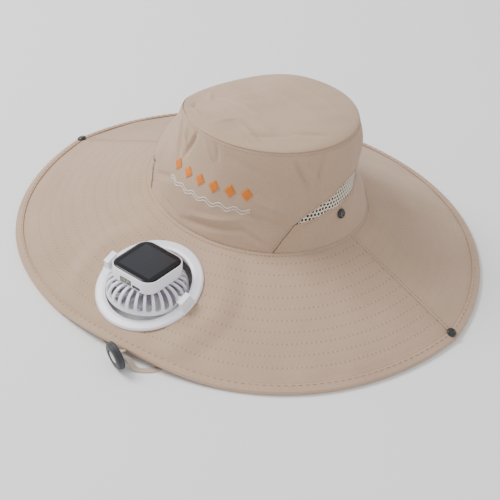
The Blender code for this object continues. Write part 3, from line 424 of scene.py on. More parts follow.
@dataclass(frozen=True)
class PanelFinish:
    """Solar panel under glass: a paler square of cells with fine bars inside a black border.

    The UV map holds the place on the panel as a share of its half width.
    """

    name: str
    border: Colour = (0.012, 0.012, 0.014)
    cells: Colour = (0.030, 0.032, 0.038)
    reach: float = 0.76
    bars: int = 9

    def material(self) -> bpy.types.Material:
        """Builds the material."""
        g = Graph(self.name, self.border, 0.22)
        g.shader.inputs["Specular IOR Level"].default_value = 0.22
        inside = g.ramp(g.off_middle("panel"), self.reach - 0.03, self.reach + 0.03, 1.0, 0.0)
        bar = g.off_half(g.math("MULTIPLY", g.uv("panel")[0], self.bars / 2))
        cells = g.mix(g.ramp(bar, 0.0, 0.06, 0.12, 0.0), self.cells, (0.10, 0.10, 0.11))
        cells = g.mix(g.ramp(g.noise(60.0, 3.0), 0.35, 0.65, 0.0, 0.35), cells, (0.034, 0.036, 0.045))
        g.feed(g.shader.inputs["Base Color"], g.mix(inside, self.border, cells))
        return g.material


@dataclass(frozen=True)
class DisplayFinish:
    """Small display behind a clear window: grey-green glass with faint brighter patches and a dark edge."""

    name: str

    def material(self) -> bpy.types.Material:
        """Builds the material."""
        g = Graph(self.name, (0.16, 0.17, 0.13), 0.2)
        g.shader.inputs["Coat Weight"].default_value = 0.5
        edge = g.off_middle("panel")
        glass = g.mix(g.ramp(g.noise(420.0, 3.0), 0.4, 0.62), (0.11, 0.115, 0.09), (0.36, 0.37, 0.30))
        g.feed(g.shader.inputs["Base Color"], g.mix(g.ramp(edge, 0.72, 0.86), glass, (0.025, 0.026, 0.02)))
        return g.material


KHAKI: Colour = (0.53, 0.368, 0.258)
KHAKI_DEEP: Colour = (0.46, 0.315, 0.218)


class Palette:
    """Every finish of the hat, each built once."""

    def __init__(self) -> None:
        self.cloth = ClothFinish("cotton", KHAKI, KHAKI_DEEP).material()
        self.brim = ClothFinish("cotton_stitched", KHAKI, KHAKI_DEEP, True, 0.75).material()
        self.brim_back = ClothFinish("cotton_stitched_back", KHAKI, KHAKI_DEEP, True, 0.35).material()
        self.thread = PlasticFinish("khaki_thread", (0.47, 0.33, 0.24), 0.85, 0.0, 0.25).material()
        self.net = PlasticFinish("net_yarn", (0.80, 0.73, 0.61), 0.9, 0.0, 0.12).material()
        self.strap = ClothFinish("tape", (0.60, 0.49, 0.39), (0.50, 0.40, 0.32)).material()
        self.white = PlasticFinish("white_plastic", (0.93, 0.93, 1.0), 0.34, 0.2, 0.02).material()
        self.panel = PanelFinish("solar_cells").material()
        self.display = DisplayFinish("display_glass").material()
        self.black = PlasticFinish("black_gloss", (0.012, 0.012, 0.013), 0.25, 0.4, 0.2).material()
        self.grey = PlasticFinish("purple_grey_plastic", (0.40, 0.35, 0.42), 0.45, 0.0, 0.1).material()
        self.metal = PlasticFinish("motor_can", (0.42, 0.42, 0.44), 0.35, 0.0, 0.15).material()
        self.charcoal = PlasticFinish("charcoal_plastic", (0.038, 0.041, 0.047), 0.5, 0.0, 0.15).material()
        self.cream = PlasticFinish("cream_plastic", (0.74, 0.66, 0.57), 0.6, 0.0, 0.08).material()
        # Painted shade for the thin dark strips laid in the wall's seams
        self.seam = PlasticFinish("seam_shade", (0.20, 0.135, 0.095), 0.95, 0.0, 0.2).material()
        self.orange_thread = PlasticFinish("orange_thread", (0.80, 0.25, 0.03), 0.7, 0.0, 0.2).material()
        self.white_thread = PlasticFinish("white_thread", (0.84, 0.82, 0.78), 0.7, 0.0, 0.1).material()


# The hat's forms


@dataclass
class HatForm:
    """Main surfaces of the cloth: the brim's outline and cone, the crown's wall and its seams."""

    half_width: float = 219.2 * MM
    front: float = 196.3 * MM
    back: float = 179.2 * MM
    corners: tuple[float, float] = (0.028, 0.022)
    draws: tuple[float, float] = (0.0127, 0.0441)
    cloth: float = 2.0 * MM
    gap: float = 0.3 * MM
    binding_cloth: float = 1.0 * MM
    binding_room: float = 0.4 * MM
    wall_thickness: float = 1.6 * MM
    lift: tuple[float, float, float] = (-83.0, 30.0, 6.2 * MM)
    base_height: float = 48.4 * MM
    base_wave: float = 1.1 * MM
    base_centre: tuple[float, float] = (-0.4 * MM, 12.55 * MM)
    base_half: tuple[float, float] = (103.0 * MM, 83.9 * MM)
    seam_rise: float = 86.6 * MM
    seam_centre: tuple[float, float] = (9.7 * MM, 16.65 * MM)
    seam_half: tuple[float, float] = (76.2 * MM, 73.9 * MM)
    seam_lean: tuple[float, float] = (0.016, -0.11)
    fan_side: float = 2.0 * MM
    fan_from_edge: float = 58.5 * MM
    fan_settle: float = 0.5 * MM
    flat_reach: tuple[float, float] = (61.5 * MM, 83.5 * MM)
    fold_radius: float = 92.0 * MM
    ripple_height: float = 0.35 * MM
    groove: float = 0.9 * MM

    # Net's edges: degrees from the front, top of the lower wall piece, foot of the upper one.
    net_edges: tuple = (
        (41.7, 0.0, 0.0), (47.2, 0.145, 0.145), (53.0, 0.283, 0.283), (55.5, 0.294, 0.314),
        (62.0, 0.312, 0.385), (73.3, 0.362, 0.463), (86.0, 0.385, 0.550), (100.0, 0.393, 0.583),
        (180.0, 0.393, 0.600),
    )
    # Broad forms of the wall: angle, height share, spreads of both, depth as a share of the half width.
    wall_forms: tuple = (
        (-152.0, 0.42, 52.0, 0.42, 0.046), (34.0, 0.42, 50.0, 0.30, -0.072), (26.0, 0.84, 44.0, 0.24, 0.018),
        (-52.0, 0.62, 26.0, 0.36, -0.016), (-92.0, 0.40, 40.0, 0.40, 0.018), (95.0, 0.46, 70.0, 0.24, -0.030),
    )
    # Folds of the wall's front: from angle and share, to angle and share, half width in millimetres,
    # height in millimetres (+ a crease that stands out, - a hollow).
    wall_folds: tuple = (
        (-130.0, 0.99, -114.0, 0.62, 5.0, -3.0), (-119.0, 0.98, -112.0, 0.78, 3.4, 2.0),
        (-104.0, 0.99, -110.0, 0.66, 4.4, -2.8), (-100.0, 0.99, -88.0, 0.80, 3.0, 1.8),
        (-88.0, 0.98, -84.0, 0.80, 3.0, -1.2), (-152.0, 0.92, -132.0, 0.62, 6.0, -1.6),
        (-98.0, 0.08, -64.0, 0.20, 4.5, -2.4), (-94.0, 0.18, -66.0, 0.30, 4.0, 1.4),
        (-118.0, 0.14, -100.0, 0.05, 4.0, -1.4), (-64.0, 0.20, -50.0, 0.06, 4.0, -1.5),
        (-146.0, 0.02, -139.0, 0.30, 4.0, -2.8), (-130.0, 0.24, -112.0, 0.40, 5.0, -1.6),
        (-38.0, 0.97, -26.0, 0.58, 4.0, -2.6), (-31.0, 0.95, -20.0, 0.62, 3.4, 1.5),
        (-17.0, 0.97, -24.0, 0.60, 4.0, -2.0), (-58.0, 0.52, -40.0, 0.38, 5.0, 1.7),
        (-70.0, 0.40, -42.0, 0.28, 4.5, -1.7), (-78.0, 0.88, -50.0, 0.76, 6.0, -1.2),
        (-30.0, 0.60, -14.0, 0.34, 5.0, -1.4), (-46.0, 0.10, -24.0, 0.30, 5.0, -1.4),
        (60.0, 0.95, 75.0, 0.65, 6.0, -2.2), (110.0, 0.95, 100.0, 0.68, 6.0, -2.2),
        (150.0, 0.95, 140.0, 0.66, 6.0, -2.0), (20.0, 0.12, 60.0, 0.20, 5.0, -1.6),
    )
    # Folds of the top, the same way, in shares of the seam's radius along X and Y.
    top_folds: tuple = (
        (-0.86, 0.06, -0.10, 0.02, 3.6, 1.7), (-0.60, -0.20, 0.10, -0.34, 3.4, 1.9),
        (-0.30, -0.42, 0.40, -0.50, 3.2, 1.3), (0.00, -0.60, 0.42, -0.76, 3.0, 1.7),
        (0.30, -0.74, 0.62, -0.42, 3.2, -1.5), (0.56, -0.40, 0.86, -0.10, 4.0, -1.5),
        (-0.66, -0.62, -0.44, -0.74, 2.6, 1.9), (-0.40, 0.30, 0.50, 0.16, 5.0, 1.2),
        (-0.20, 0.62, 0.60, 0.46, 5.0, 1.1), (-0.74, -0.44, -0.60, -0.66, 3.0, -1.8),
        (-0.80, -0.10, -0.62, -0.34, 3.0, 1.6), (-0.16, -0.80, -0.02, -0.60, 2.6, 1.6),
    )
    dome_rise: float = 9.0 * MM
    # Where the top seam sags: angle and spread in degrees, depth.
    seam_sags: tuple = ((172.0, 70.0, 12.5 * MM), (120.0, 60.0, 2.0 * MM))
    # Dents of the top: middle and reach in shares of the seam's radius, depth as a share of the rise.
    top_forms: tuple = ((-0.66, -0.50, 0.62, 0.50), (0.10, 0.05, 0.60, 0.10), (0.55, -0.62, 0.36, 0.10))

    @property
    def centre_y(self) -> float:
        """Middle of the outline along Y."""
        return (self.front - self.back) / 2

    def edge_radius(self, angle: Array) -> Array:
        """Outline of the edge: an ellipse, squared by sin^2 of twice the angle, drawn in beside the seams."""
        a = np.radians(angle)
        s, c = np.sin(a), np.cos(a)
        rear = (s >= 0).astype(int)
        depth = np.where(rear, self.back, self.front)
        ellipse = 1.0 / np.sqrt((c / self.half_width) ** 2 + (s / depth) ** 2)
        draw = np.array(self.draws)[rear] * depth * 4 * np.abs(s) * (1 - np.abs(s))
        return ellipse * (1.0 + np.array(self.corners)[rear] * np.sin(2 * a) ** 2) - draw

    def edge_lift(self, angle: Array) -> Array:
        """How far the edge stands off the surface where the strap passes under it."""
        middle, spread, height = self.lift
        return height * window(turn(np.asarray(angle) - middle) / spread)

    def crown_base(self, angle: Array) -> Array:
        """Foot of the crown's wall: an ellipse, a little higher at its sides."""
        a = np.radians(angle)
        return np.stack([self.base_centre[0] + self.base_half[0] * np.cos(a),
                         self.base_centre[1] + self.base_half[1] * np.sin(a),
                         self.base_height + self.base_wave * np.cos(2 * a)], -1)

    def brim_ends(self, angle: Array) -> tuple[Array, Array]:
        """Middle of the brim's cloth under the crown's foot and at its edge."""
        a = np.radians(angle)
        base = self.crown_base(angle)
        edge = np.zeros_like(base)
        reach = self.edge_radius(angle) - self.binding_cloth - self.gap
        edge[..., 0] = np.cos(a) * reach
        edge[..., 1] = np.sin(a) * reach + self.centre_y
        span = np.linalg.norm(edge[..., :2] - base[..., :2], axis=-1)
        slope = np.arctan2(base[..., 2], span)
        base[..., 2] -= (self.cloth / 2 + self.gap) / np.cos(slope)
        edge[..., 2] = ((self.cloth / 2 + self.binding_room + self.binding_cloth) * np.cos(slope)
                        + self.gap * np.sin(slope) + self.edge_lift(angle))
        return base + (base - edge) / span[..., None] * self.wall_thickness, edge

    @staticmethod
    def leaning(slope: float) -> Array:
        """Upward normal of a face that rises towards the back by a slope in radians."""
        return np.array([0.0, -math.sin(slope), math.cos(slope)])

    def ring_place(self) -> tuple[Array, float]:
        """Middle of the fan's hole on the brim's upper face, and the front brim's slope in radians."""
        base, edge = (ends[0] for ends in self.brim_ends(np.array([-90.0])))
        slope = math.atan2(base[2] - edge[2], base[1] - edge[1])
        y = self.centre_y - self.front + self.fan_from_edge
        z = edge[2] + (y - edge[1]) * math.tan(slope) - self.fan_settle
        return np.array([self.fan_side, y, z]) + self.leaning(slope) * self.cloth / 2, slope

    def brim_middle(self, angle: Array, share: Array) -> Array:
        """Ruled surface between the two ends, brought to the ring's plane round the fan."""
        base, edge = self.brim_ends(angle)
        point = base + (edge - base) * share[..., None]
        point[..., 2] -= self.edge_lift(angle) * (share - share ** 3)
        centre, slope = self.ring_place()
        up = self.leaning(slope)
        offset = point - (centre - up * self.cloth / 2)
        height = offset @ up
        reach = np.linalg.norm(offset - height[..., None] * up, axis=-1)
        weight = fade(reach, *self.flat_reach) * (1.0 - fade(share, 0.0, 0.12)) * fade(share, 0.89, 1.0)
        return point - (weight * height)[..., None] * up

    def seam_line(self, angle: Array) -> Array:
        """Top seam: an ellipse on a leaning plane."""
        a = np.radians(angle)
        x = self.seam_centre[0] + self.seam_half[0] * np.cos(a)
        y = self.seam_centre[1] + self.seam_half[1] * np.sin(a)
        z = self.base_height + self.seam_rise
        z = z + self.seam_lean[0] * x + self.seam_lean[1] * (y - self.centre_y)
        for middle, spread, depth in self.seam_sags:
            z = z - depth * window(turn(angle - middle) / spread)
        return np.stack([x, y, z], -1)

    def wall(self, angle: Array, share: Array, depth: float = 0.0) -> Array:
        """Face of the crown's wall, from its foot (share 0) to the top seam (share 1), moved in by depth.

        A ruled surface between the foot and the top seam; each broad form adds a soft bump, and each fold
        adds a bump across its own line that dies away at the line's ends.
        """
        point = self.crown_base(angle)
        point = point + (self.seam_line(angle) - point) * share[..., None]
        out = np.zeros_like(share)
        for middle, height, spread, tall, amount in self.wall_forms:
            out += amount * window(turn(angle - middle) / spread) * window((share - height) / tall)
        out *= self.base_half[0] * np.clip(share * 8, 0, 1) * np.clip((1 - share) * 8, 0, 1)
        scale = np.array([math.radians(1.0) * self.fold_radius, self.seam_rise])
        soft = np.clip(share * 9, 0, 1) * np.clip((1 - share) * 9, 0, 1)
        for a0, s0, a1, s1, width, height in self.wall_folds:
            start = np.stack([turn(angle - a0), share - s0], -1) * scale
            line = np.array([turn(a1 - a0), s1 - s0]) * scale
            out += soft * self.fold(start, line, width * MM, height * MM)
        x, y = np.radians(angle) * self.fold_radius, share * self.seam_rise
        out += soft * self.ripple_height * ripple(x, y, 34 * MM, 5)
        out -= self.groove * window((1.0 - share) * self.seam_rise / (1.6 * MM))
        out -= self.groove * window(share * self.seam_rise / (1.4 * MM))
        a = np.radians(angle)
        point[..., 0] += (out - depth) * np.cos(a)
        point[..., 1] += (out - depth) * np.sin(a)
        return point

    @staticmethod
    def fold(offset: Array, line: Array, width: float, height: float) -> Array:
        """Bump across a line from the origin: a soft window over the distance, tapered along the line."""
        run = np.clip((offset @ line) / (line @ line), 0.0, 1.0)
        away = np.linalg.norm(offset - run[..., None] * line, axis=-1)
        return height * window(away / width) * (0.35 + 2.6 * run * (1.0 - run))

    def wall_facing(self, angle: Array, share: Array) -> Array:
        """Outward normal of the wall, by small steps along it and up it."""
        here = self.wall(angle, share)
        return unit(np.cross(self.wall(angle + 0.5, share) - here, self.wall(angle, share + 0.01) - here))

    def net_lines(self, angle: Array) -> tuple[Array, Array]:
        """Top of the lower wall piece and foot of the upper one, as shares of the rise."""
        away = np.abs(turn(np.asarray(angle, float) + 90.0))
        table = np.array(self.net_edges).T
        return np.interp(away, table[0], table[1]), np.interp(away, table[0], table[2])

    def top(self, angle: Array, share: Array, inset: float = 0.0) -> Array:
        """Domed top at a share of the seam's radius: rise (1 - share^2.2)^0.6, with its dents and folds."""
        a = np.radians(angle)
        seam = self.seam_line(angle)
        centre, half = np.array(self.seam_centre), np.array(self.seam_half) - inset
        flat = np.stack([np.cos(a), np.sin(a)], -1) * share[..., None]
        up = (1.0 - np.clip(share, 0, 1) ** 2.2) ** 0.6
        middle = self.seam_line(np.arange(0.0, 360.0, 10.0))[:, 2].mean()
        z = middle + (seam[..., 2] - middle) * share + self.gap + up * (self.dome_rise - inset)
        for x, y, reach, depth in self.top_forms:
            away = np.hypot(flat[..., 0] - x, flat[..., 1] - y) / reach
            z -= depth * self.dome_rise * window(away) * np.minimum(up * 2, 1)
        calm = fade(share, 0.86, 0.98)
        for x0, y0, x1, y1, width, height in self.top_folds:
            start = (flat - np.array([x0, y0])) * np.array(self.seam_half)
            line = np.array([x1 - x0, y1 - y0]) * np.array(self.seam_half)
            z += calm * self.fold(start, line, width * MM, height * MM)
        xy = centre + flat * half
        z += calm * self.ripple_height * ripple(xy[..., 0], xy[..., 1], 30 * MM, 8)
        return np.concatenate([xy, z[..., None]], -1)


# Sub-assemblies


def dashes(name: str, middle: Array, along: Array, up: Array, length: Array | float, width: float,
           material: bpy.types.Material, raised: float = 0.3) -> bpy.types.Object:
    """Short threads: each a spindle of five hexagonal rings, sunk in the cloth at both ends.

    Args:
        middle, along, up: For each thread, its middle, its direction and the cloth's normal.
        length: Length of each, or of all.
        width: Their thickness.
        raised: How far the middle line stands off the cloth, as a share of the width.
    """
    along = unit(along)
    up = unit(up)
    side = np.cross(up, along)
    a = np.arange(6) * math.pi / 3
    run = np.array([-1.0, -0.78, 0.0, 0.78, 1.0])[:, None] * np.ones(6)
    thick = np.array([0.25, 0.85, 1.0, 0.85, 0.25])[:, None]
    across, high = thick * np.cos(a), thick * np.sin(a)
    half = np.broadcast_to(np.asarray(length, float), (len(middle),))[:, None, None, None] / 2
    points = (middle[:, None, None] + run[None, :, :, None] * half * along[:, None, None]
              + across[None, :, :, None] * width / 2 * side[:, None, None]
              + (high[None, :, :, None] / 2 + raised) * width * up[:, None, None])
    faces = [[corner + 30 * k for corner in face] for k in range(len(middle)) for face in capped(5, 6)]
    return make_mesh(name, points, faces, material)


def stitches(name: str, line: Array, up: Array, pitch: float, share: float, width: float,
             material: bpy.types.Material, raised: float = 0.3) -> bpy.types.Object:
    """Running stitches along a line on the cloth.

    Args:
        line, up: Points of the line and the cloth's normal at each.
        pitch: Step from stitch to stitch.
        share: Share of the step that the thread fills.
        width: Thickness of the thread.
    """
    run = arc(line)
    at = np.arange(pitch / 2, run[-1], pitch)

    def sample(values: Array, where: Array) -> Array:
        return np.stack([np.interp(where, run, values[:, k]) for k in range(3)], -1)

    ahead = sample(line, at + pitch * share / 2) - sample(line, at - pitch * share / 2)
    return dashes(name, sample(line, at), ahead, sample(up, at), pitch * share, width, material, raised)


@dataclass
class Assembly:
    """What every sub-assembly holds: the forms, the finishes and a way to put its pieces in the frame."""

    form: HatForm
    palette: Palette

    def put(self, item: bpy.types.Object, body: Body, slot: str, *nodes: str) -> bpy.types.Object:
        """Makes a piece ride on a body, hides the nodes that it stands for, and logs it with their names."""
        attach(item, body.value)
        if nodes:
            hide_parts(*nodes)
        LOG.info("%s: %d faces, for %s", item.name, len(item.data.polygons), ", ".join(nodes) or "nothing")
        return item

    def sew(self, name: str, line: Array, up: Array, pitch: float, share: float, width: float) -> None:
        """Puts a line of stitches in the cloth's own thread; the arguments are those of stitches."""
        self.put(stitches(name, line, up, pitch, share, width, self.palette.thread), Body.HAT, "cloth")


@dataclass
class Studio:
    """Camera of the photograph, pale floor and soft light."""

    azimuth: float = 38.764
    elevation: float = 38.308
    roll: float = 1.649
    distance: float = 1317.893 * MM
    lens: float = 113.36
    target: tuple[float, float, float] = (52.468 * MM, -59.823 * MM, 50.0 * MM)
    floor_size: float = 8.0
    # Lights: name, place, size, power.
    lamps: tuple = (("key", (-1.3, -0.5, 1.7), 0.9, 46.0), ("fill", (1.2, -1.6, 1.0), 1.4, 3.0))
    sky: float = 0.85

    def build(self) -> None:
        """Builds camera, floor, world and lights."""
        self.camera()
        self.floor()
        self.lights()

    def camera(self) -> None:
        """Places the camera by its angles, its distance and the point that it looks at."""
        az, el, roll = (math.radians(v) for v in (self.azimuth, self.elevation, self.roll))
        back = Vector((math.sin(az) * math.cos(el), -math.cos(az) * math.cos(el), math.sin(el)))
        right = Vector((math.cos(az), math.sin(az), 0.0))
        up = back.cross(right)
        across = right * math.cos(roll) + up * math.sin(roll)
        above = up * math.cos(roll) - right * math.sin(roll)
        data = bpy.data.cameras.new("camera")
        data.lens = self.lens
        data.sensor_width = 36.0
        data.clip_start = 0.05
        data.clip_end = 50.0
        item = bpy.data.objects.new("camera", data)
        bpy.context.scene.collection.objects.link(item)
        place = Vector(self.target) + back * self.distance
        item.matrix_world = Matrix.Translation(place) @ Matrix((across, above, back)).transposed().to_4x4()
        bpy.context.scene.camera = item

    def floor(self) -> None:
        """Lays a wide pale floor under the hat."""
        g = Graph("floor", (0.93, 0.93, 0.93), 0.9)
        half = self.floor_size / 2
        corners = np.array([[-half, -half, 0], [half, -half, 0], [half, half, 0], [-half, half, 0]])
        make_mesh("floor", corners, [[0, 1, 2, 3]], g.material)

    def lights(self) -> None:
        """Even white surroundings, a broad key light from the upper left and a weak fill from the right."""
        world = bpy.data.worlds.new("surroundings")
        world.use_nodes = True
        shade = world.node_tree.nodes["Background"]
        shade.inputs["Color"].default_value = (1.0, 1.0, 1.0, 1.0)
        shade.inputs["Strength"].default_value = self.sky
        bpy.context.scene.world = world
        for name, place, size, power in self.lamps:
            data = bpy.data.lights.new(name, "AREA")
            data.size = size
            data.energy = power
            item = bpy.data.objects.new(name, data)
            bpy.context.scene.collection.objects.link(item)
            item.location = place
            item.rotation_euler = (-Vector(place)).to_track_quat("-Z", "Y").to_euler()


@dataclass
class ChinStrap(Assembly):
    """Two strands of flat tape from inside the crown to the toggle, with the toggle and its middle."""

    tape_width: float = 5.0 * MM
    tape_thickness: float = 1.2 * MM
    spacing: float = 3.0 * MM
    settle: float = 0.95 * MM
    toggle_centre: tuple[float, float, float] = (29.6 * MM, -200.4 * MM, 12.85 * MM)
    toggle_facing: tuple[float, float, float] = (-0.322, -0.934, -0.162)
    toggle_radius: float = 12.3 * MM
    toggle_thickness: float = 6.4 * MM
    toggle_bore: float = 6.2 * MM
    right: tuple = (
        (98.7, 12.5, 51.0), (98.5, 12.4, 44.0), (97.0, 11.6, 32.0), (96.4, 8.6, 19.0), (97.0, 2.0, 8.5),
        (98.0, -9.0, 2.6), (96.0, -28.0, 1.7), (90.0, -56.0, 1.7), (85.0, -86.0, 1.7), (82.0, -112.0, 1.7),
        (77.0, -136.0, 1.7), (69.0, -157.0, 1.7), (60.5, -174.0, 1.7), (53.0, -185.5, 1.7),
        (43.8, -192.0, 2.4), (36.8, -193.2, 8.2), (32.9, -196.2, 11.8), (32.0, -199.7, 12.5),
    )
    left: tuple = (
        (-98.9, 12.5, 51.0), (-98.7, 12.4, 44.0), (-98.2, 11.0, 31.0), (-98.4, 6.4, 17.0),
        (-99.4, -2.0, 6.5), (-99.6, -14.0, 1.8), (-96.0, -34.0, 1.7), (-87.0, -66.0, 1.7),
        (-80.0, -97.0, 1.7), (-74.0, -125.0, 1.7), (-63.0, -149.0, 1.7), (-46.0, -166.5, 1.7),
        (-26.0, -175.5, 1.7), (-6.0, -180.0, 1.7), (8.0, -184.3, 1.7), (14.5, -186.8, 2.2),
        (20.0, -189.8, 3.8), (25.6, -190.0, 7.8), (28.8, -190.8, 12.0), (29.2, -194.0, 13.6),
        (27.6, -198.8, 12.7),
    )

    def build(self) -> None:
        toggle = self.toggle()
        for word, points in (("right", self.right), ("left", self.left)):
            path = self.route(points)
            item = tube("tape_" + word, path, self.section(), self.sides(path), self.palette.strap)
            self.put(item, Body.HAT, "strap", "strap_" + word)

    def route(self, points: Sequence) -> Array:
        """Even points along a centripetal Catmull-Rom curve, its lowest parts settled on the surface."""
        line = np.array(points) * MM
        line = np.concatenate([[line[0] * 2 - line[1]], line, [line[-1] * 2 - line[-2]]])
        fine = []
        for p0, p1, p2, p3 in zip(line, line[1:], line[2:], line[3:]):
            t1 = math.sqrt(np.linalg.norm(p1 - p0))
            t2 = t1 + math.sqrt(np.linalg.norm(p2 - p1))
            t3 = t2 + math.sqrt(np.linalg.norm(p3 - p2))
            t = np.linspace(t1, t2, 24, endpoint=False)[:, None]
            a1 = p0 * (t1 - t) / t1 + p1 * t / t1
            a2 = p1 * (t2 - t) / (t2 - t1) + p2 * (t - t1) / (t2 - t1)
            a3 = p2 * (t3 - t) / (t3 - t2) + p3 * (t - t2) / (t3 - t2)
            b1 = a1 * (t2 - t) / t2 + a2 * t / t2
            b2 = a2 * (t3 - t) / (t3 - t1) + a3 * (t - t1) / (t3 - t1)
            fine.append(b1 * (t2 - t) / (t2 - t1) + b2 * (t - t1) / (t2 - t1))
        fine = np.concatenate([*fine, line[-2:-1]])
        run = arc(fine)
        at = np.linspace(0.0, run[-1], int(round(run[-1] / self.spacing)) + 1)
        path = np.stack([np.interp(at, run, fine[:, k]) for k in range(3)], -1)
        path[:, 2] -= self.settle * fade(path[:, 2], 1.8 * MM, 6.0 * MM)
        return path

    def section(self) -> Array:
        """Flat section of the tape with rounded edges."""
        w, h = self.tape_width / 2, self.tape_thickness / 2
        return rounded([(-w, -h), (w, -h), (w, h), (-w, h)], h, 3, True)

    def sides(self, path: Array) -> Array:
        """Direction across the tape: along the wall where it hangs, level across its way on the surface."""
        ahead = np.gradient(path, axis=0)
        level = unit(np.stack([-ahead[:, 1], ahead[:, 0], np.zeros(len(path))], -1))
        level *= np.where(level[:, :1] < 0, -1.0, 1.0)
        hanging = np.array([0.25, -1.0, 0.0])
        weight = fade(arc(path), 10 * MM, 60 * MM)[:, None]
        return unit(hanging * weight + level * (1.0 - weight))

    def toggle(self) -> list[bpy.types.Object]:
        """The toggle's body, turned from a soft profile, and its middle."""
        place = facing_place(self.toggle_centre, self.toggle_facing)
        r, t, bore = self.toggle_radius, self.toggle_thickness, self.toggle_bore
        outline = [(bore, -0.5 * t), (0.88 * r, -0.5 * t), (r, -0.36 * t), (r, -0.06 * t),
                   (0.93 * r, 0.02 * t), (0.95 * r, 0.30 * t), (0.82 * r, 0.5 * t), (bore, 0.5 * t)]
        outline = rounded(outline, 0.9 * MM, 4, True)
        body = lathe("toggle_body", outline, self.palette.charcoal, place, 72, True)
        face = t / 2 - 0.4 * MM
        rim = bore - self.form.gap
        disc = [(0, 0), (rim, 0), (rim, face - MM), (rim - 0.5 * MM, face - 0.3 * MM), (rim - 1.6 * MM, face),
                (rim - 2.4 * MM, face - 0.5 * MM), (0, face - 0.6 * MM)]
        middle = lathe("toggle_middle", np.array(disc), self.palette.cream, place, 48)
        return [self.put(body, Body.HAT, "charcoal_plastic", "strap_toggle"),
                self.put(middle, Body.HAT, "cream_plastic", "toggle_insert")]


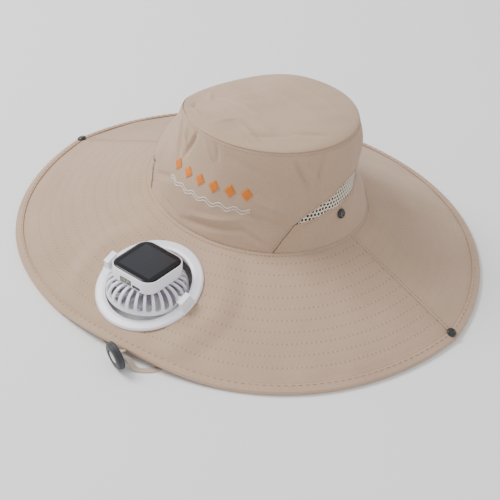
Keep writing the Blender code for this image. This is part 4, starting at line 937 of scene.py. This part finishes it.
@dataclass
class Brim(Assembly):
    """Both halves of the brim with their rows of stitching, the side seams and the bound edge."""

    front_grid: tuple[int, int] = (289, 97)
    back_grid: tuple[int, int] = (217, 61)
    row_count: int = 12
    last_row: float = 0.87
    stitch_pitch: float = 4.0 * MM
    puff: float = 0.22 * MM
    ridge_width: float = 3.8 * MM
    ridge_height: float = 0.7 * MM
    hole_radius: float = 40.2 * MM
    binding_width: float = 6.6 * MM
    plain_row: float = 10.45
    foot_rows: tuple[float, float, float] = (2.8 * MM, 3.4 * MM, 4.0 * MM)
    side_offset: float = 2.9 * MM

    def build(self) -> None:
        """Builds every piece of the brim."""
        self.half("brim_front_cloth", -180.0, 0.0, self.front_grid, self.palette.brim, "brim_front")
        self.half("brim_back_cloth", 0.0, 180.0, self.back_grid, self.palette.brim_back, "brim_back")
        self.binding()
        self.seams()

    def relief(self, angle: Array, share: Array, from_side: Array, span: Array) -> Array:
        """Height over the plain cloth: a puff |sin| between the rows, and ridges beside the seams."""
        from_base = share * span
        calm = fade(share, 0.9, 0.97) * fade(-from_base, -8 * MM, -4 * MM)
        puff = self.puff * np.abs(np.sin(np.pi * share * self.row_count)) * np.where(angle < 0, 1.0, 0.3)
        a = np.radians(angle)
        loose = 0.5 * MM * ripple(np.cos(a) * (1 + share), np.sin(a) * (1 + share), 0.55, 12)
        ridge = self.ridge_height * fade(from_base, self.ridge_width * 0.8, self.ridge_width)
        seam = 0.55 * MM * fade(from_side, 3.6 * MM, 4.6 * MM) * fade(-from_side, -1.2 * MM, -0.3 * MM)
        return (puff + loose) * calm + ridge + seam * fade(share, 0.93, 0.97)

    def surface(self, angle: Array, share: Array, side: float) -> tuple[Array, Array]:
        """Upper (side 1) or under (side -1) face of the cloth, and the normals."""
        middle = self.form.brim_middle(angle, share)
        up = -normals_of(middle, False)
        base, edge = self.form.brim_ends(angle)
        span = np.linalg.norm(edge - base, axis=-1)
        radius = np.linalg.norm(middle[..., :2], axis=-1)
        from_side = np.radians(np.minimum(np.abs(angle), 180 - np.abs(angle))) * radius
        extra = self.relief(angle, share, from_side, span) if side > 0 else 0.0 * share
        return middle + up * (side * self.form.cloth / 2 + extra)[..., None], up

    def half(self, name: str, start: float, end: float, size: tuple[int, int], material: bpy.types.Material,
             node: str) -> None:
        """One half of the brim: a wall between its upper and under face, open where the fan sits."""
        seam = math.degrees(self.form.gap / 2 / self.form.base_half[0])
        columns, rows = size
        around = np.linspace(start + seam, end - seam, columns)
        angle, share = np.meshgrid(around, np.linspace(0.0, 1.0, rows))
        outer, _ = self.surface(angle, share, 1.0)
        inner, _ = self.surface(angle, share, -1.0)
        run = runs(outer)
        depth = np.linalg.norm(outer - outer[:1], axis=-1)
        row = np.where(share < self.last_row, share * self.row_count, self.plain_row)
        nearest = np.clip(np.round(share[:, 0] * self.row_count) * (rows - 1) / self.row_count, 0, rows - 1)
        along = run[nearest.astype(int)]
        uvs = {"cloth": np.stack([run, depth], -1), "rows": np.stack([along / self.stitch_pitch, row], -1)}
        centre, _ = self.form.ring_place()
        near = np.linalg.norm(outer - centre, axis=-1).ravel() < self.hole_radius
        self.put(shell(name, outer, inner, False, material, uvs, near), Body.HAT, "cloth", node)

    def binding(self) -> None:
        """Folded strip round the edge: a rounded section carried along the edge, with its hem stitches."""
        angle = np.linspace(-180.0, 180.0, 720, endpoint=False)
        shares = np.array([0.952, 1.0])
        a, s = np.meshgrid(angle, shares)
        middle = self.form.brim_middle(a, s)
        up = -normals_of(middle, True)[1]
        down = unit(middle[1] - middle[0])
        edge = middle[1]
        inside = self.form.cloth / 2 + self.form.binding_room
        outside = inside + self.form.binding_cloth
        past = self.form.gap + self.form.binding_cloth
        w = self.binding_width
        section = [(-w, outside - 0.25 * MM), (-w + 1.2 * MM, outside + 0.15 * MM), (-2.2 * MM, outside),
                   (past - 0.7 * MM, outside), (past, 0.5 * outside), (past, -0.5 * outside),
                   (past - 0.7 * MM, -outside), (-4 * MM, -outside), (-w, -outside), (-w, -inside),
                   (self.form.gap, -inside), (self.form.gap, inside), (-w, inside)]
        section = rounded(section, 0.5 * MM, 3, True)
        wave = 0.12 * MM * np.sin(arc(edge) / (6.0 * MM) * 2 * np.pi)
        points = (edge + down * section[:, None, :1] + up * section[:, None, 1:]
                  + up * wave[None, :, None] * (section[:, 1] > outside - 0.4 * MM)[:, None, None])
        lift = self.form.edge_lift(angle)
        points[..., 2] = np.maximum(points[..., 2], lift)
        faces = quads_of(len(section) + 1, len(angle), True) % (len(section) * len(angle))
        uv = np.stack(np.broadcast_arrays(arc(edge)[None], arc(section)[:, None]), -1)
        item = make_mesh("edge_binding", points, faces, self.palette.cloth, {"cloth": uv})
        self.put(item, Body.HAT, "cloth", "brim_binding")
        hem = edge - down * (w - 1.5 * MM) + up * (outside + 0.1 * MM)
        loop = [*range(len(angle)), 0]
        self.sew("hem_stitches", hem[loop], up[loop], 5.8 * MM, 0.55, 0.7 * MM)

    def seams(self) -> None:
        """Stitches outside the crown's foot and beside both side seams."""
        angle = np.linspace(-180.0, 180.0, 481)
        base, edge = self.form.brim_ends(angle)
        share = np.array(self.foot_rows)[:, None] / np.linalg.norm(edge - base, axis=-1)
        line, up = self.surface(np.broadcast_to(angle, share.shape), share, 1.0)
        self.sew("foot_stitches", line[1], up[1], 3.4 * MM, 0.6, 0.55 * MM)
        for word, turned in (("right", 0.0), ("left", 180.0)):
            share = np.linspace(0.03, 0.94, 60)
            out = np.linalg.norm(self.form.brim_middle(np.full(60, turned), share)[:, :2], axis=-1)
            offset = np.degrees(self.side_offset / out)
            angles = turned + offset if word == "right" else turned - offset
            grid = np.stack([angles - 0.1, angles, angles + 0.1], 1)
            line, up = self.surface(grid, np.broadcast_to(share[:, None], grid.shape), 1.0)
            self.sew("side_stitches_" + word, line[:, 1], up[:, 1], 3.4 * MM, 0.6, 0.55 * MM)


@dataclass
class Crown(Assembly):
    """Wall in two pieces with the net between them, the domed top, the seams and the studs."""

    panel_rows: int = 60
    band_rows: int = 26
    seam_away: float = 41.7
    net_start: float = 55.5
    net_pitch: float = 3.6 * MM
    net_open: float = 0.74
    net_thickness: float = 0.8 * MM
    net_sink: float = 0.45 * MM
    net_lap: float = 1.02
    stitch_inset: float = 1.9
    top_stitch_drop: float = 2.6 * MM
    net_stitch_gap: float = 2.2 * MM
    top_rings: int = 44
    stud_angle: float = -6.1
    stud_share: float = 0.281
    stud_radius: float = 4.3 * MM
    stud_height: float = 2.1 * MM
    brim_stud_inset: float = 6.2 * MM
    # Embroidery: places and half lengths in degrees, heights in shares of the rise.
    lozenge_count: int = 6
    lozenge_start: float = -112.0
    lozenge_step: float = 9.6
    lozenge_level: float = 0.56
    lozenge_rise: float = 0.066
    lozenge_half: float = 3.6
    wave_count: int = 64
    wave_start: float = -114.5
    wave_step: float = 0.84
    wave_turn: float = 0.62
    wave_rise: float = 0.016
    wave_levels: tuple[float, float] = (0.405, 0.375)
    wave_half: float = 0.40

    def build(self) -> None:
        """Builds every piece of the crown."""
        self.panel()
        self.band()
        self.net()
        self.dome()
        self.seams()
        self.artwork()
        self.studs()

    def piece(self, name: str, angle: Array, low: Array, high: Array, rows: int,
              closed: bool) -> bpy.types.Object:
        """Part of the wall between two lines of shares, with its thickness."""
        share = low + (high - low) * np.linspace(0.0, 1.0, rows + 1)[:, None]
        a = np.broadcast_to(angle, share.shape)
        outer = self.form.wall(a, share)
        inner = self.form.wall(a, share, self.form.wall_thickness)
        inner[..., 2] += self.form.wall_thickness * 0.45 * np.clip(1 - share * 3, 0, 1)
        run = runs(outer)
        uv = np.stack([run, np.broadcast_to(share * self.form.seam_rise, run.shape)], -1)
        return shell(name, outer, inner, closed, self.palette.cloth, {"cloth": uv})

    def panel(self) -> None:
        """Upper wall piece: full height in front, above the net elsewhere."""
        front = np.linspace(-90 - self.seam_away, -90 + self.seam_away, 131)
        rest = np.linspace(-90 + self.seam_away, 270 - self.seam_away, 281)[1:-1]
        angle = np.concatenate([front, rest])
        away = np.abs(turn(angle + 90))
        foot = self.form.net_lines(angle)[1] + self.form.gap / self.form.seam_rise
        low = np.where(away > self.seam_away + 1e-3, foot, 0.0)
        item = self.piece("crown_panel_cloth", angle, low, np.ones_like(low), self.panel_rows, True)
        self.put(item, Body.HAT, "cloth", "crown_panel")

    def band(self) -> None:
        """Lower wall piece, under the net."""
        tip = 1.0
        angle = np.linspace(-90 + self.seam_away + tip, 270 - self.seam_away - tip, 281)
        top = self.form.net_lines(angle)[0] - self.form.gap / self.form.seam_rise
        item = self.piece("crown_band_cloth", angle, np.zeros_like(top), top, self.band_rows, False)
        self.put(item, Body.HAT, "cloth", "crown_band")

    def net(self) -> None:
        """Net of hexagonal holes: each cell a flat ring between its hexagon and a smaller one."""
        width = math.degrees(self.net_pitch / self.form.fold_radius)
        height = self.net_pitch * 2 / math.sqrt(3) / self.form.seam_rise
        start, end = -90 + self.net_start, 270 - self.net_start
        i, j = np.meshgrid(np.arange(int((end - start) / width)), np.arange(2, 40))
        angle = (start + (i + 0.5 * (j % 2) + 0.5) * width).ravel()
        share = (j * 0.75 * height).ravel()
        low, high = self.form.net_lines(angle)
        keep = (share > low - 0.35 * height) & (share < high + 0.35 * height) & (high - low > 0.01)
        angle, share = angle[keep], share[keep]
        corner = np.radians(90 + 60 * np.arange(6))
        across, up = np.cos(corner) * width / math.sqrt(3), np.sin(corner) * height / 2
        rings = []
        near, far = self.net_sink, self.net_sink + self.net_thickness
        for size, depth in ((self.net_lap, near), (self.net_open, near), (self.net_open, far),
                            (self.net_lap, far)):
            a = angle[:, None] + across * size
            s = share[:, None] + up * size
            rings.append(self.form.wall(a, s, depth))
        faces = (np.arange(len(angle))[:, None, None] * 24 + quads_of(4, 6, True)).reshape(-1, 4)
        item = make_mesh("net_band", np.stack(rings, 1), faces, self.palette.net, sharp=35.0)
        self.put(item, Body.HAT, "net", "mesh_panel")

    def dome(self) -> None:
        """Top of the crown: rings from the seam to the middle, a face above and one below."""
        share = np.append(np.sin(np.linspace(1.0, 0.0, self.top_rings) * math.pi / 2)[:-1], 0.002)
        angle, share = np.meshgrid(np.arange(240) * 1.5, share)
        outer = self.form.top(angle, share)
        inner = self.form.top(angle, share, self.form.wall_thickness)
        item = shell("crown_top_cloth", outer, inner, True, self.palette.cloth, {"cloth": outer[..., :2]})
        self.put(item, Body.HAT, "cloth", "crown_top")

    def seams(self) -> None:
        """Stitches under the top seam, on both sides of the front panel, and along the net's two edges, with
        strips of painted shade in the seams.
        """
        angle = np.linspace(-180.0, 180.0, 481)
        drop = self.top_stitch_drop / self.form.seam_rise
        self.wall_stitches("top_stitches", angle, np.full_like(angle, 1.0 - drop))
        # Thin dark strips of painted shade in the top seam, the foot seam and beside the front panel
        self.seam_line("top_seam", angle, np.full_like(angle, 1.0), 0.55 * MM)
        self.seam_line("foot_seam", angle, np.full_like(angle, 0.002), 0.7 * MM)
        for word, mirror in (("right", 1.0), ("left", -1.0)):
            share = np.linspace(0.02, 0.30, 30)
            table = np.array(self.form.net_edges).T
            away = np.interp(share, table[2][:4], table[0][:4]) - self.stitch_inset
            self.wall_stitches("panel_stitches_" + word, -90 + mirror * away, share)
            self.seam_line("panel_seam_" + word, -90 + mirror * (away + self.stitch_inset), share, 0.2 * MM)
        angle = np.linspace(-90 + self.net_start, 270 - self.net_start, 401)
        low, high = self.form.net_lines(angle)
        away = self.net_stitch_gap / self.form.seam_rise
        self.wall_stitches("net_stitches_upper", angle, high + away)
        self.wall_stitches("net_stitches_lower", angle, low - away)

    def seam_line(self, name: str, angle: Array, share: Array, stand: float) -> None:
        """Painted seam shade: a thin dark thread along a seam of the wall, its middle a little way off the
        wall.
        """
        up = self.form.wall_facing(angle, np.minimum(share, 0.985))
        line = self.form.wall(angle, share) + up * stand
        item = stitches(name, line, up, 3.0 * MM, 1.12, 0.75 * MM, self.palette.seam, 0.0)
        self.put(item, Body.HAT, "cloth")

    def wall_stitches(self, name: str, angle: Array, share: Array) -> None:
        """One line of stitches on the wall."""
        line, up = self.form.wall(angle, share), self.form.wall_facing(angle, share)
        self.sew(name, line, up, 3.2 * MM, 0.6, 0.5 * MM)

    def artwork(self) -> None:
        """Plain embroidery in two colours: a row of lozenges over a wave."""
        lozenges, waves = [], []
        for k in range(self.lozenge_count):
            middle = self.lozenge_start + k * self.lozenge_step
            for level in np.arange(-0.062, 0.0621, 0.0085):
                half = self.lozenge_half * (1.0 - abs(level) / self.lozenge_rise)
                lozenges.append((middle, self.lozenge_level + level, half))
        for k in range(self.wave_count):
            place, rise = self.wave_start + k * self.wave_step, self.wave_rise * math.sin(k * self.wave_turn)
            waves += [(place, level + rise, self.wave_half) for level in self.wave_levels]
        for name, marks, material in (("motif_lozenges", lozenges, self.palette.orange_thread),
                                      ("motif_wave", waves, self.palette.white_thread)):
            angle, share, half = np.array(marks).T
            middle, up = self.form.wall(angle, share), self.form.wall_facing(angle, share)
            along = self.form.wall(angle + half, share) - self.form.wall(angle - half, share)
            length = np.linalg.norm(along, axis=-1)
            self.put(dashes(name, middle, along, up, length, 0.95 * MM, material, 0.25), Body.HAT, "cloth")

    def studs(self) -> None:
        """Press studs at both sides of the wall and at the ends of the brim's side seams."""
        r, h = self.stud_radius, self.stud_height
        profile = rounded([(0, 0), (r, 0), (r, 0.38 * h), (0.9 * r, 0.72 * h), (0.68 * r, 0.97 * h),
                           (0.5 * r, h), (0.4 * r, 0.8 * h), (0, 0.74 * h)], 0.5 * MM, 3)
        for side in Side:
            word = side.name.lower()
            angle = self.stud_angle if side is Side.RIGHT else -180.0 - self.stud_angle
            spot = (np.array([angle]), np.array([self.stud_share]))
            facing = self.form.wall_facing(*spot)[0]
            self.stud("crown_stud_" + word, self.form.wall(*spot)[0] + facing * 0.5 * MM, facing, profile,
                      "crown_snap_" + word)
            base, edge = self.form.brim_ends(np.array([0.0 if side is Side.RIGHT else 180.0]))
            down = unit(edge - base)[0]
            up = unit(np.array([down[2] * -side.value, 0.0, abs(down[0])]))
            inset = self.brim_stud_inset - self.form.binding_cloth - self.form.gap
            rise = self.form.cloth / 2 + self.form.binding_room + self.form.binding_cloth + self.form.gap
            place = edge[0] - down * inset + up * rise
            self.stud("brim_stud_" + word, place, up, profile, "brim_snap_" + word)

    def stud(self, name: str, place: Array, facing: Array, profile: Array, node: str) -> None:
        """One stud, its middle on a place and its face turned outwards."""
        item = lathe(name, profile, self.palette.black, facing_place(place, facing), 40)
        self.put(item, Body.HAT, "black_stud", node)


@dataclass
class Fan(Assembly):
    """Flange with its ears, the slotted head, the box with its panel, window and port."""

    ring_inner: float = 37.0 * MM
    ring_outer: float = 46.5 * MM
    ring_thickness: float = 3.0 * MM
    sleeve_wall: float = 2.2 * MM
    sleeve_foot: float = -4.6 * MM
    ear_width: float = 14.0 * MM
    ear_height: float = 8.4 * MM
    ear_top: float = 3.6 * MM
    ear_inset: float = 2.5 * MM
    ear_foot: float = 45.7 * MM
    pivot_rise: float = 4.0 * MM
    head_pitch: float = 20.0
    head_radius: float = 34.5 * MM
    head_wall: float = 1.6 * MM
    head_foot: float = -10.0 * MM
    head_top: float = 6.8 * MM
    shoulder: float = 22.6 * MM
    slot_foot: float = -4.1 * MM
    slot_count: int = 28
    slot_share: float = 0.66
    case_half: float = 23.6 * MM
    case_corner: float = 10.8 * MM
    case_height: float = 12.4 * MM
    rim_width: float = 0.9 * MM
    glass_rise: float = 0.7 * MM
    window_place: tuple[float, float] = (-2.6 * MM, -1.6 * MM)
    window_size: tuple[float, float] = (12.0 * MM, 5.4 * MM)
    port_place: tuple[float, float] = (9.0 * MM, -2.8 * MM)
    port_size: tuple[float, float] = (8.6 * MM, 2.6 * MM)
    ring: Matrix = field(init=False)
    head: Matrix = field(init=False)

    def __post_init__(self) -> None:
        centre, slope = self.form.ring_place()
        self.ring = Matrix.Translation(Vector(centre)) @ Matrix.Rotation(slope, 4, "X")
        rise = self.form.gap + self.ring_thickness + self.pivot_rise
        lean = Matrix.Rotation(-math.radians(self.head_pitch), 4, "X")
        self.head = self.ring @ Matrix.Translation((0, 0, rise)) @ lean

    def build(self) -> None:
        """Builds the dressed pieces and gives the carried-over nodes their finishes."""
        self.flange()
        self.grille()
        self.box()
        self.keep()

    def flange(self) -> None:
        """Flange and sleeve turned from one rounded profile, and the two ears on it."""
        gap, t = self.form.gap, self.ring_thickness
        sleeve, top = self.ring_inner + self.sleeve_wall, gap + t
        profile = rounded([(self.ring_inner, self.sleeve_foot), (sleeve, self.sleeve_foot), (sleeve, gap),
                           (self.ring_outer, gap), (self.ring_outer, gap + 0.4 * t),
                           (self.ring_outer - 0.4 * t, gap + 0.85 * t), (sleeve + 0.3 * t, top),
                           (self.ring_inner, top - 0.1 * t)], 0.6 * MM, 4, True)
        item = lathe("flange", profile, self.palette.white, self.ring, 144, True)
        self.put(item, Body.HAT, "white_plastic", "fan_ring")
        for side in Side:
            self.ear(side)

    def ear(self, side: Side) -> None:
        """One ear: a rounded wedge, wide at its foot."""
        inner, base = self.ring_inner + self.ear_inset, 0.5 * self.ring_thickness
        top = self.form.gap + self.ring_thickness + self.ear_height
        low, high = self.ear_width / 2, self.ear_width / 2 - self.ear_top / 2
        level = self.form.gap + self.ring_thickness
        rows = [(inner, self.ear_foot, base, low), (inner, self.ear_foot, level, low),
                (inner, inner + self.ear_top, top, high)]
        points = np.array([(side.value * x, y, z) for near, far, z, half in rows
                           for x, y in ((near, -half), (near, half), (far, half), (far, -half))])
        faces = quads_of(len(rows), 4, True).tolist() + [[0, 1, 2, 3], [11, 10, 9, 8]]
        if side is Side.RIGHT:
            faces = [face[::-1] for face in faces]
        item = make_mesh("ear_" + side.name.lower(), placed(points, self.ring), faces, self.palette.white)
        bevel = item.modifiers.new("edges", "BEVEL")
        bevel.width = 0.8 * MM
        bevel.segments = 4
        bevel.harden_normals = False
        self.put(item, Body.HAT, "white_plastic")

    def head_surface(self, angle: Array, run: Array, depth: float) -> Array:
        """Head at a run from its foot (0) up the side, over the elliptic shoulder and in to the middle (3).

        Up to 1 the side is upright; from 1 to 2 the shoulder is a quarter ellipse; from 2 to 3 it is level.
        """
        quarter = np.clip(run - 1.0, 0.0, 1.0) * math.pi / 2
        wide, tall = self.head_radius - self.shoulder - depth, self.head_top - self.slot_foot - depth
        radius = self.shoulder + wide * np.cos(quarter)
        height = self.slot_foot + tall * np.sin(quarter)
        height = np.where(run < 1.0, self.head_foot + (self.slot_foot - self.head_foot) * run, height)
        radius = np.where(run > 2.0, self.shoulder * (3.0 - run), radius)
        return np.stack([radius * np.cos(angle), radius * np.sin(angle), height], -1)

    def grille(self) -> None:
        """Ribs between round-ended slots: in each pitch, the columns follow the edges of the two slots."""
        run = np.concatenate([np.linspace(0.0, 0.5, 3), np.linspace(0.54, 1.14, 16),
                              np.linspace(1.17, 2.0, 16), np.linspace(2.1, 2.98, 6)])
        pitch = 2 * math.pi / self.slot_count
        start, end, curve = 0.56, 2.2, 0.36
        from_end = np.clip((run - start) / curve, 0.0, 1.0)
        open_half = 0.5 * self.slot_share * pitch * np.sqrt(1.0 - (1.0 - from_end) ** 2) * (run < end)
        share = np.linspace(0.0, 1.0, 7)
        all_points, all_faces = [], []
        for k in range(self.slot_count):
            middle = (k + 0.5) * pitch
            low, high = middle + open_half, middle + pitch - open_half
            angle = low[:, None] + (high - low)[:, None] * share
            across = np.broadcast_to(run[:, None], angle.shape)
            points, faces = shell_faces(self.head_surface(angle, across, 0.0),
                                        self.head_surface(angle, across, self.head_wall), False)
            all_faces.append(faces + len(points) * k)
            all_points.append(points)
        item = make_mesh("head_grille", placed(np.concatenate(all_points), self.head),
                         np.concatenate(all_faces), self.palette.white, sharp=60.0)
        self.put(item, Body.HEAD, "white_plastic", "fan_grille")

    def square(self, half: float, corner: float, steps: int = 12) -> Array:
        """Points of a square with round corners."""
        a = np.radians(np.concatenate([np.linspace(q * 90, q * 90 + 90, steps) for q in range(4)]))
        sign = np.repeat([(1, 1), (-1, 1), (-1, -1), (1, -1)], steps, axis=0)
        return (half - corner) * sign + corner * np.stack([np.cos(a), np.sin(a)], -1)

    def stack(self, name: str, half: float, corner: float, levels: Sequence[tuple[float, float]],
              material: bpy.types.Material, uv_half: float = 1.0) -> bpy.types.Object:
        """Solid through rounded squares, each with its inset from the half width and its height."""
        rings = [np.insert(self.square(half - inset, corner - inset), 2, z, axis=1) for inset, z in levels]
        points = np.concatenate(rings)
        uv = {"panel": points[:, :2] / uv_half}
        faces = capped(len(levels), len(rings[0]))
        return make_mesh(name, placed(points, self.head), faces, material, uv, 35.0)

    def box(self) -> None:
        """Box with a rolled lower edge and a rim round the glass, the glass, the window and the port."""
        foot = self.head_top + self.form.gap
        top = foot + self.case_height
        half, corner = self.case_half, self.case_corner
        rim, roll, slope = self.rim_width, 1.6 * MM, 1.5 * MM
        levels = [(roll * (1 - math.sin(t)), foot + roll * (1 - math.cos(t)))
                  for t in np.linspace(0.0, math.pi / 2, 6)]
        levels += [(0.0, top - 0.6 * MM), (0.12 * MM, top - 0.2 * MM), (0.4 * MM, top), (rim, top),
                   (rim, top - 1.2 * MM)]
        self.put(self.stack("battery_box", half, corner, levels, self.palette.white), Body.HEAD,
                 "white_plastic", "power_case")
        glass, round_ = half - rim - self.form.gap, corner - rim - self.form.gap
        levels = [(0.0, top - 0.9 * MM), (0.0, top - 0.1 * MM), (0.15 * MM, top + 0.1 * MM),
                  (slope, top + self.glass_rise - 0.06 * MM), (slope + 0.4 * MM, top + self.glass_rise)]
        self.put(self.stack("solar_glass", glass, round_, levels, self.palette.panel, glass), Body.HEAD,
                 "solar_glass", "solar_panel")
        middle = (foot + top) / 2
        self.face_plate("window_glass", self.window_place, self.window_size, middle, 0.9 * MM,
                        self.palette.display, "display", "display_window")
        self.face_plate("charging_port", self.port_place, self.port_size, middle, 1.3 * MM,
                        self.palette.black, "black_stud", "usb_port")

    def face_plate(self, name: str, place: tuple[float, float], size: tuple[float, float], middle: float,
                   corner: float, material: bpy.types.Material, slot: str, node: str) -> None:
        """Small rounded plate set in the box's front wall."""
        w, h = size[0] / 2, size[1] / 2
        outline = rounded([(-w, -h), (w, -h), (w, h), (-w, h)], corner, 6, True)
        rings = []
        for shrink, out in ((0.0, -1.0 * MM), (0.0, 0.12 * MM), (0.25 * MM, 0.2 * MM)):
            flat = outline * (1 - shrink / np.array([w, h]))
            rings.append(np.stack([flat[:, 0] + place[0], np.full(len(flat), -self.case_half - out),
                                   flat[:, 1] + middle + place[1]], -1))
        uv = {"panel": np.tile(outline / np.array([w, h]), (3, 1))}
        points = placed(np.concatenate(rings), self.head)
        item = make_mesh(name, points, capped(3, len(outline)), material, uv, 35.0)
        self.put(item, Body.HEAD, slot, node)

    def keep(self) -> None:
        """Finishes of the nodes whose own shape is right."""
        finishes = {"fan_clamp_ring": self.palette.white, "fan_guard": self.palette.white,
                    "hinge_pin_right": self.palette.white, "hinge_pin_left": self.palette.white,
                    "fan_motor": self.palette.metal, "fan_impeller": self.palette.grey}
        for name, material in finishes.items():
            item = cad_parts[name]
            for slot in item.material_slots:
                slot.material = material
            LOG.info("%s keeps its shape", name)


def main() -> None:
    """Builds the classes in order."""
    logging.basicConfig(level=logging.INFO, format="%(message)s")
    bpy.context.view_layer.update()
    form, palette = HatForm(), Palette()
    Studio().build()
    for assembly in (ChinStrap(form, palette), Brim(form, palette), Crown(form, palette), Fan(form, palette)):
        assembly.build()


if __name__ == "__main__":
    main()
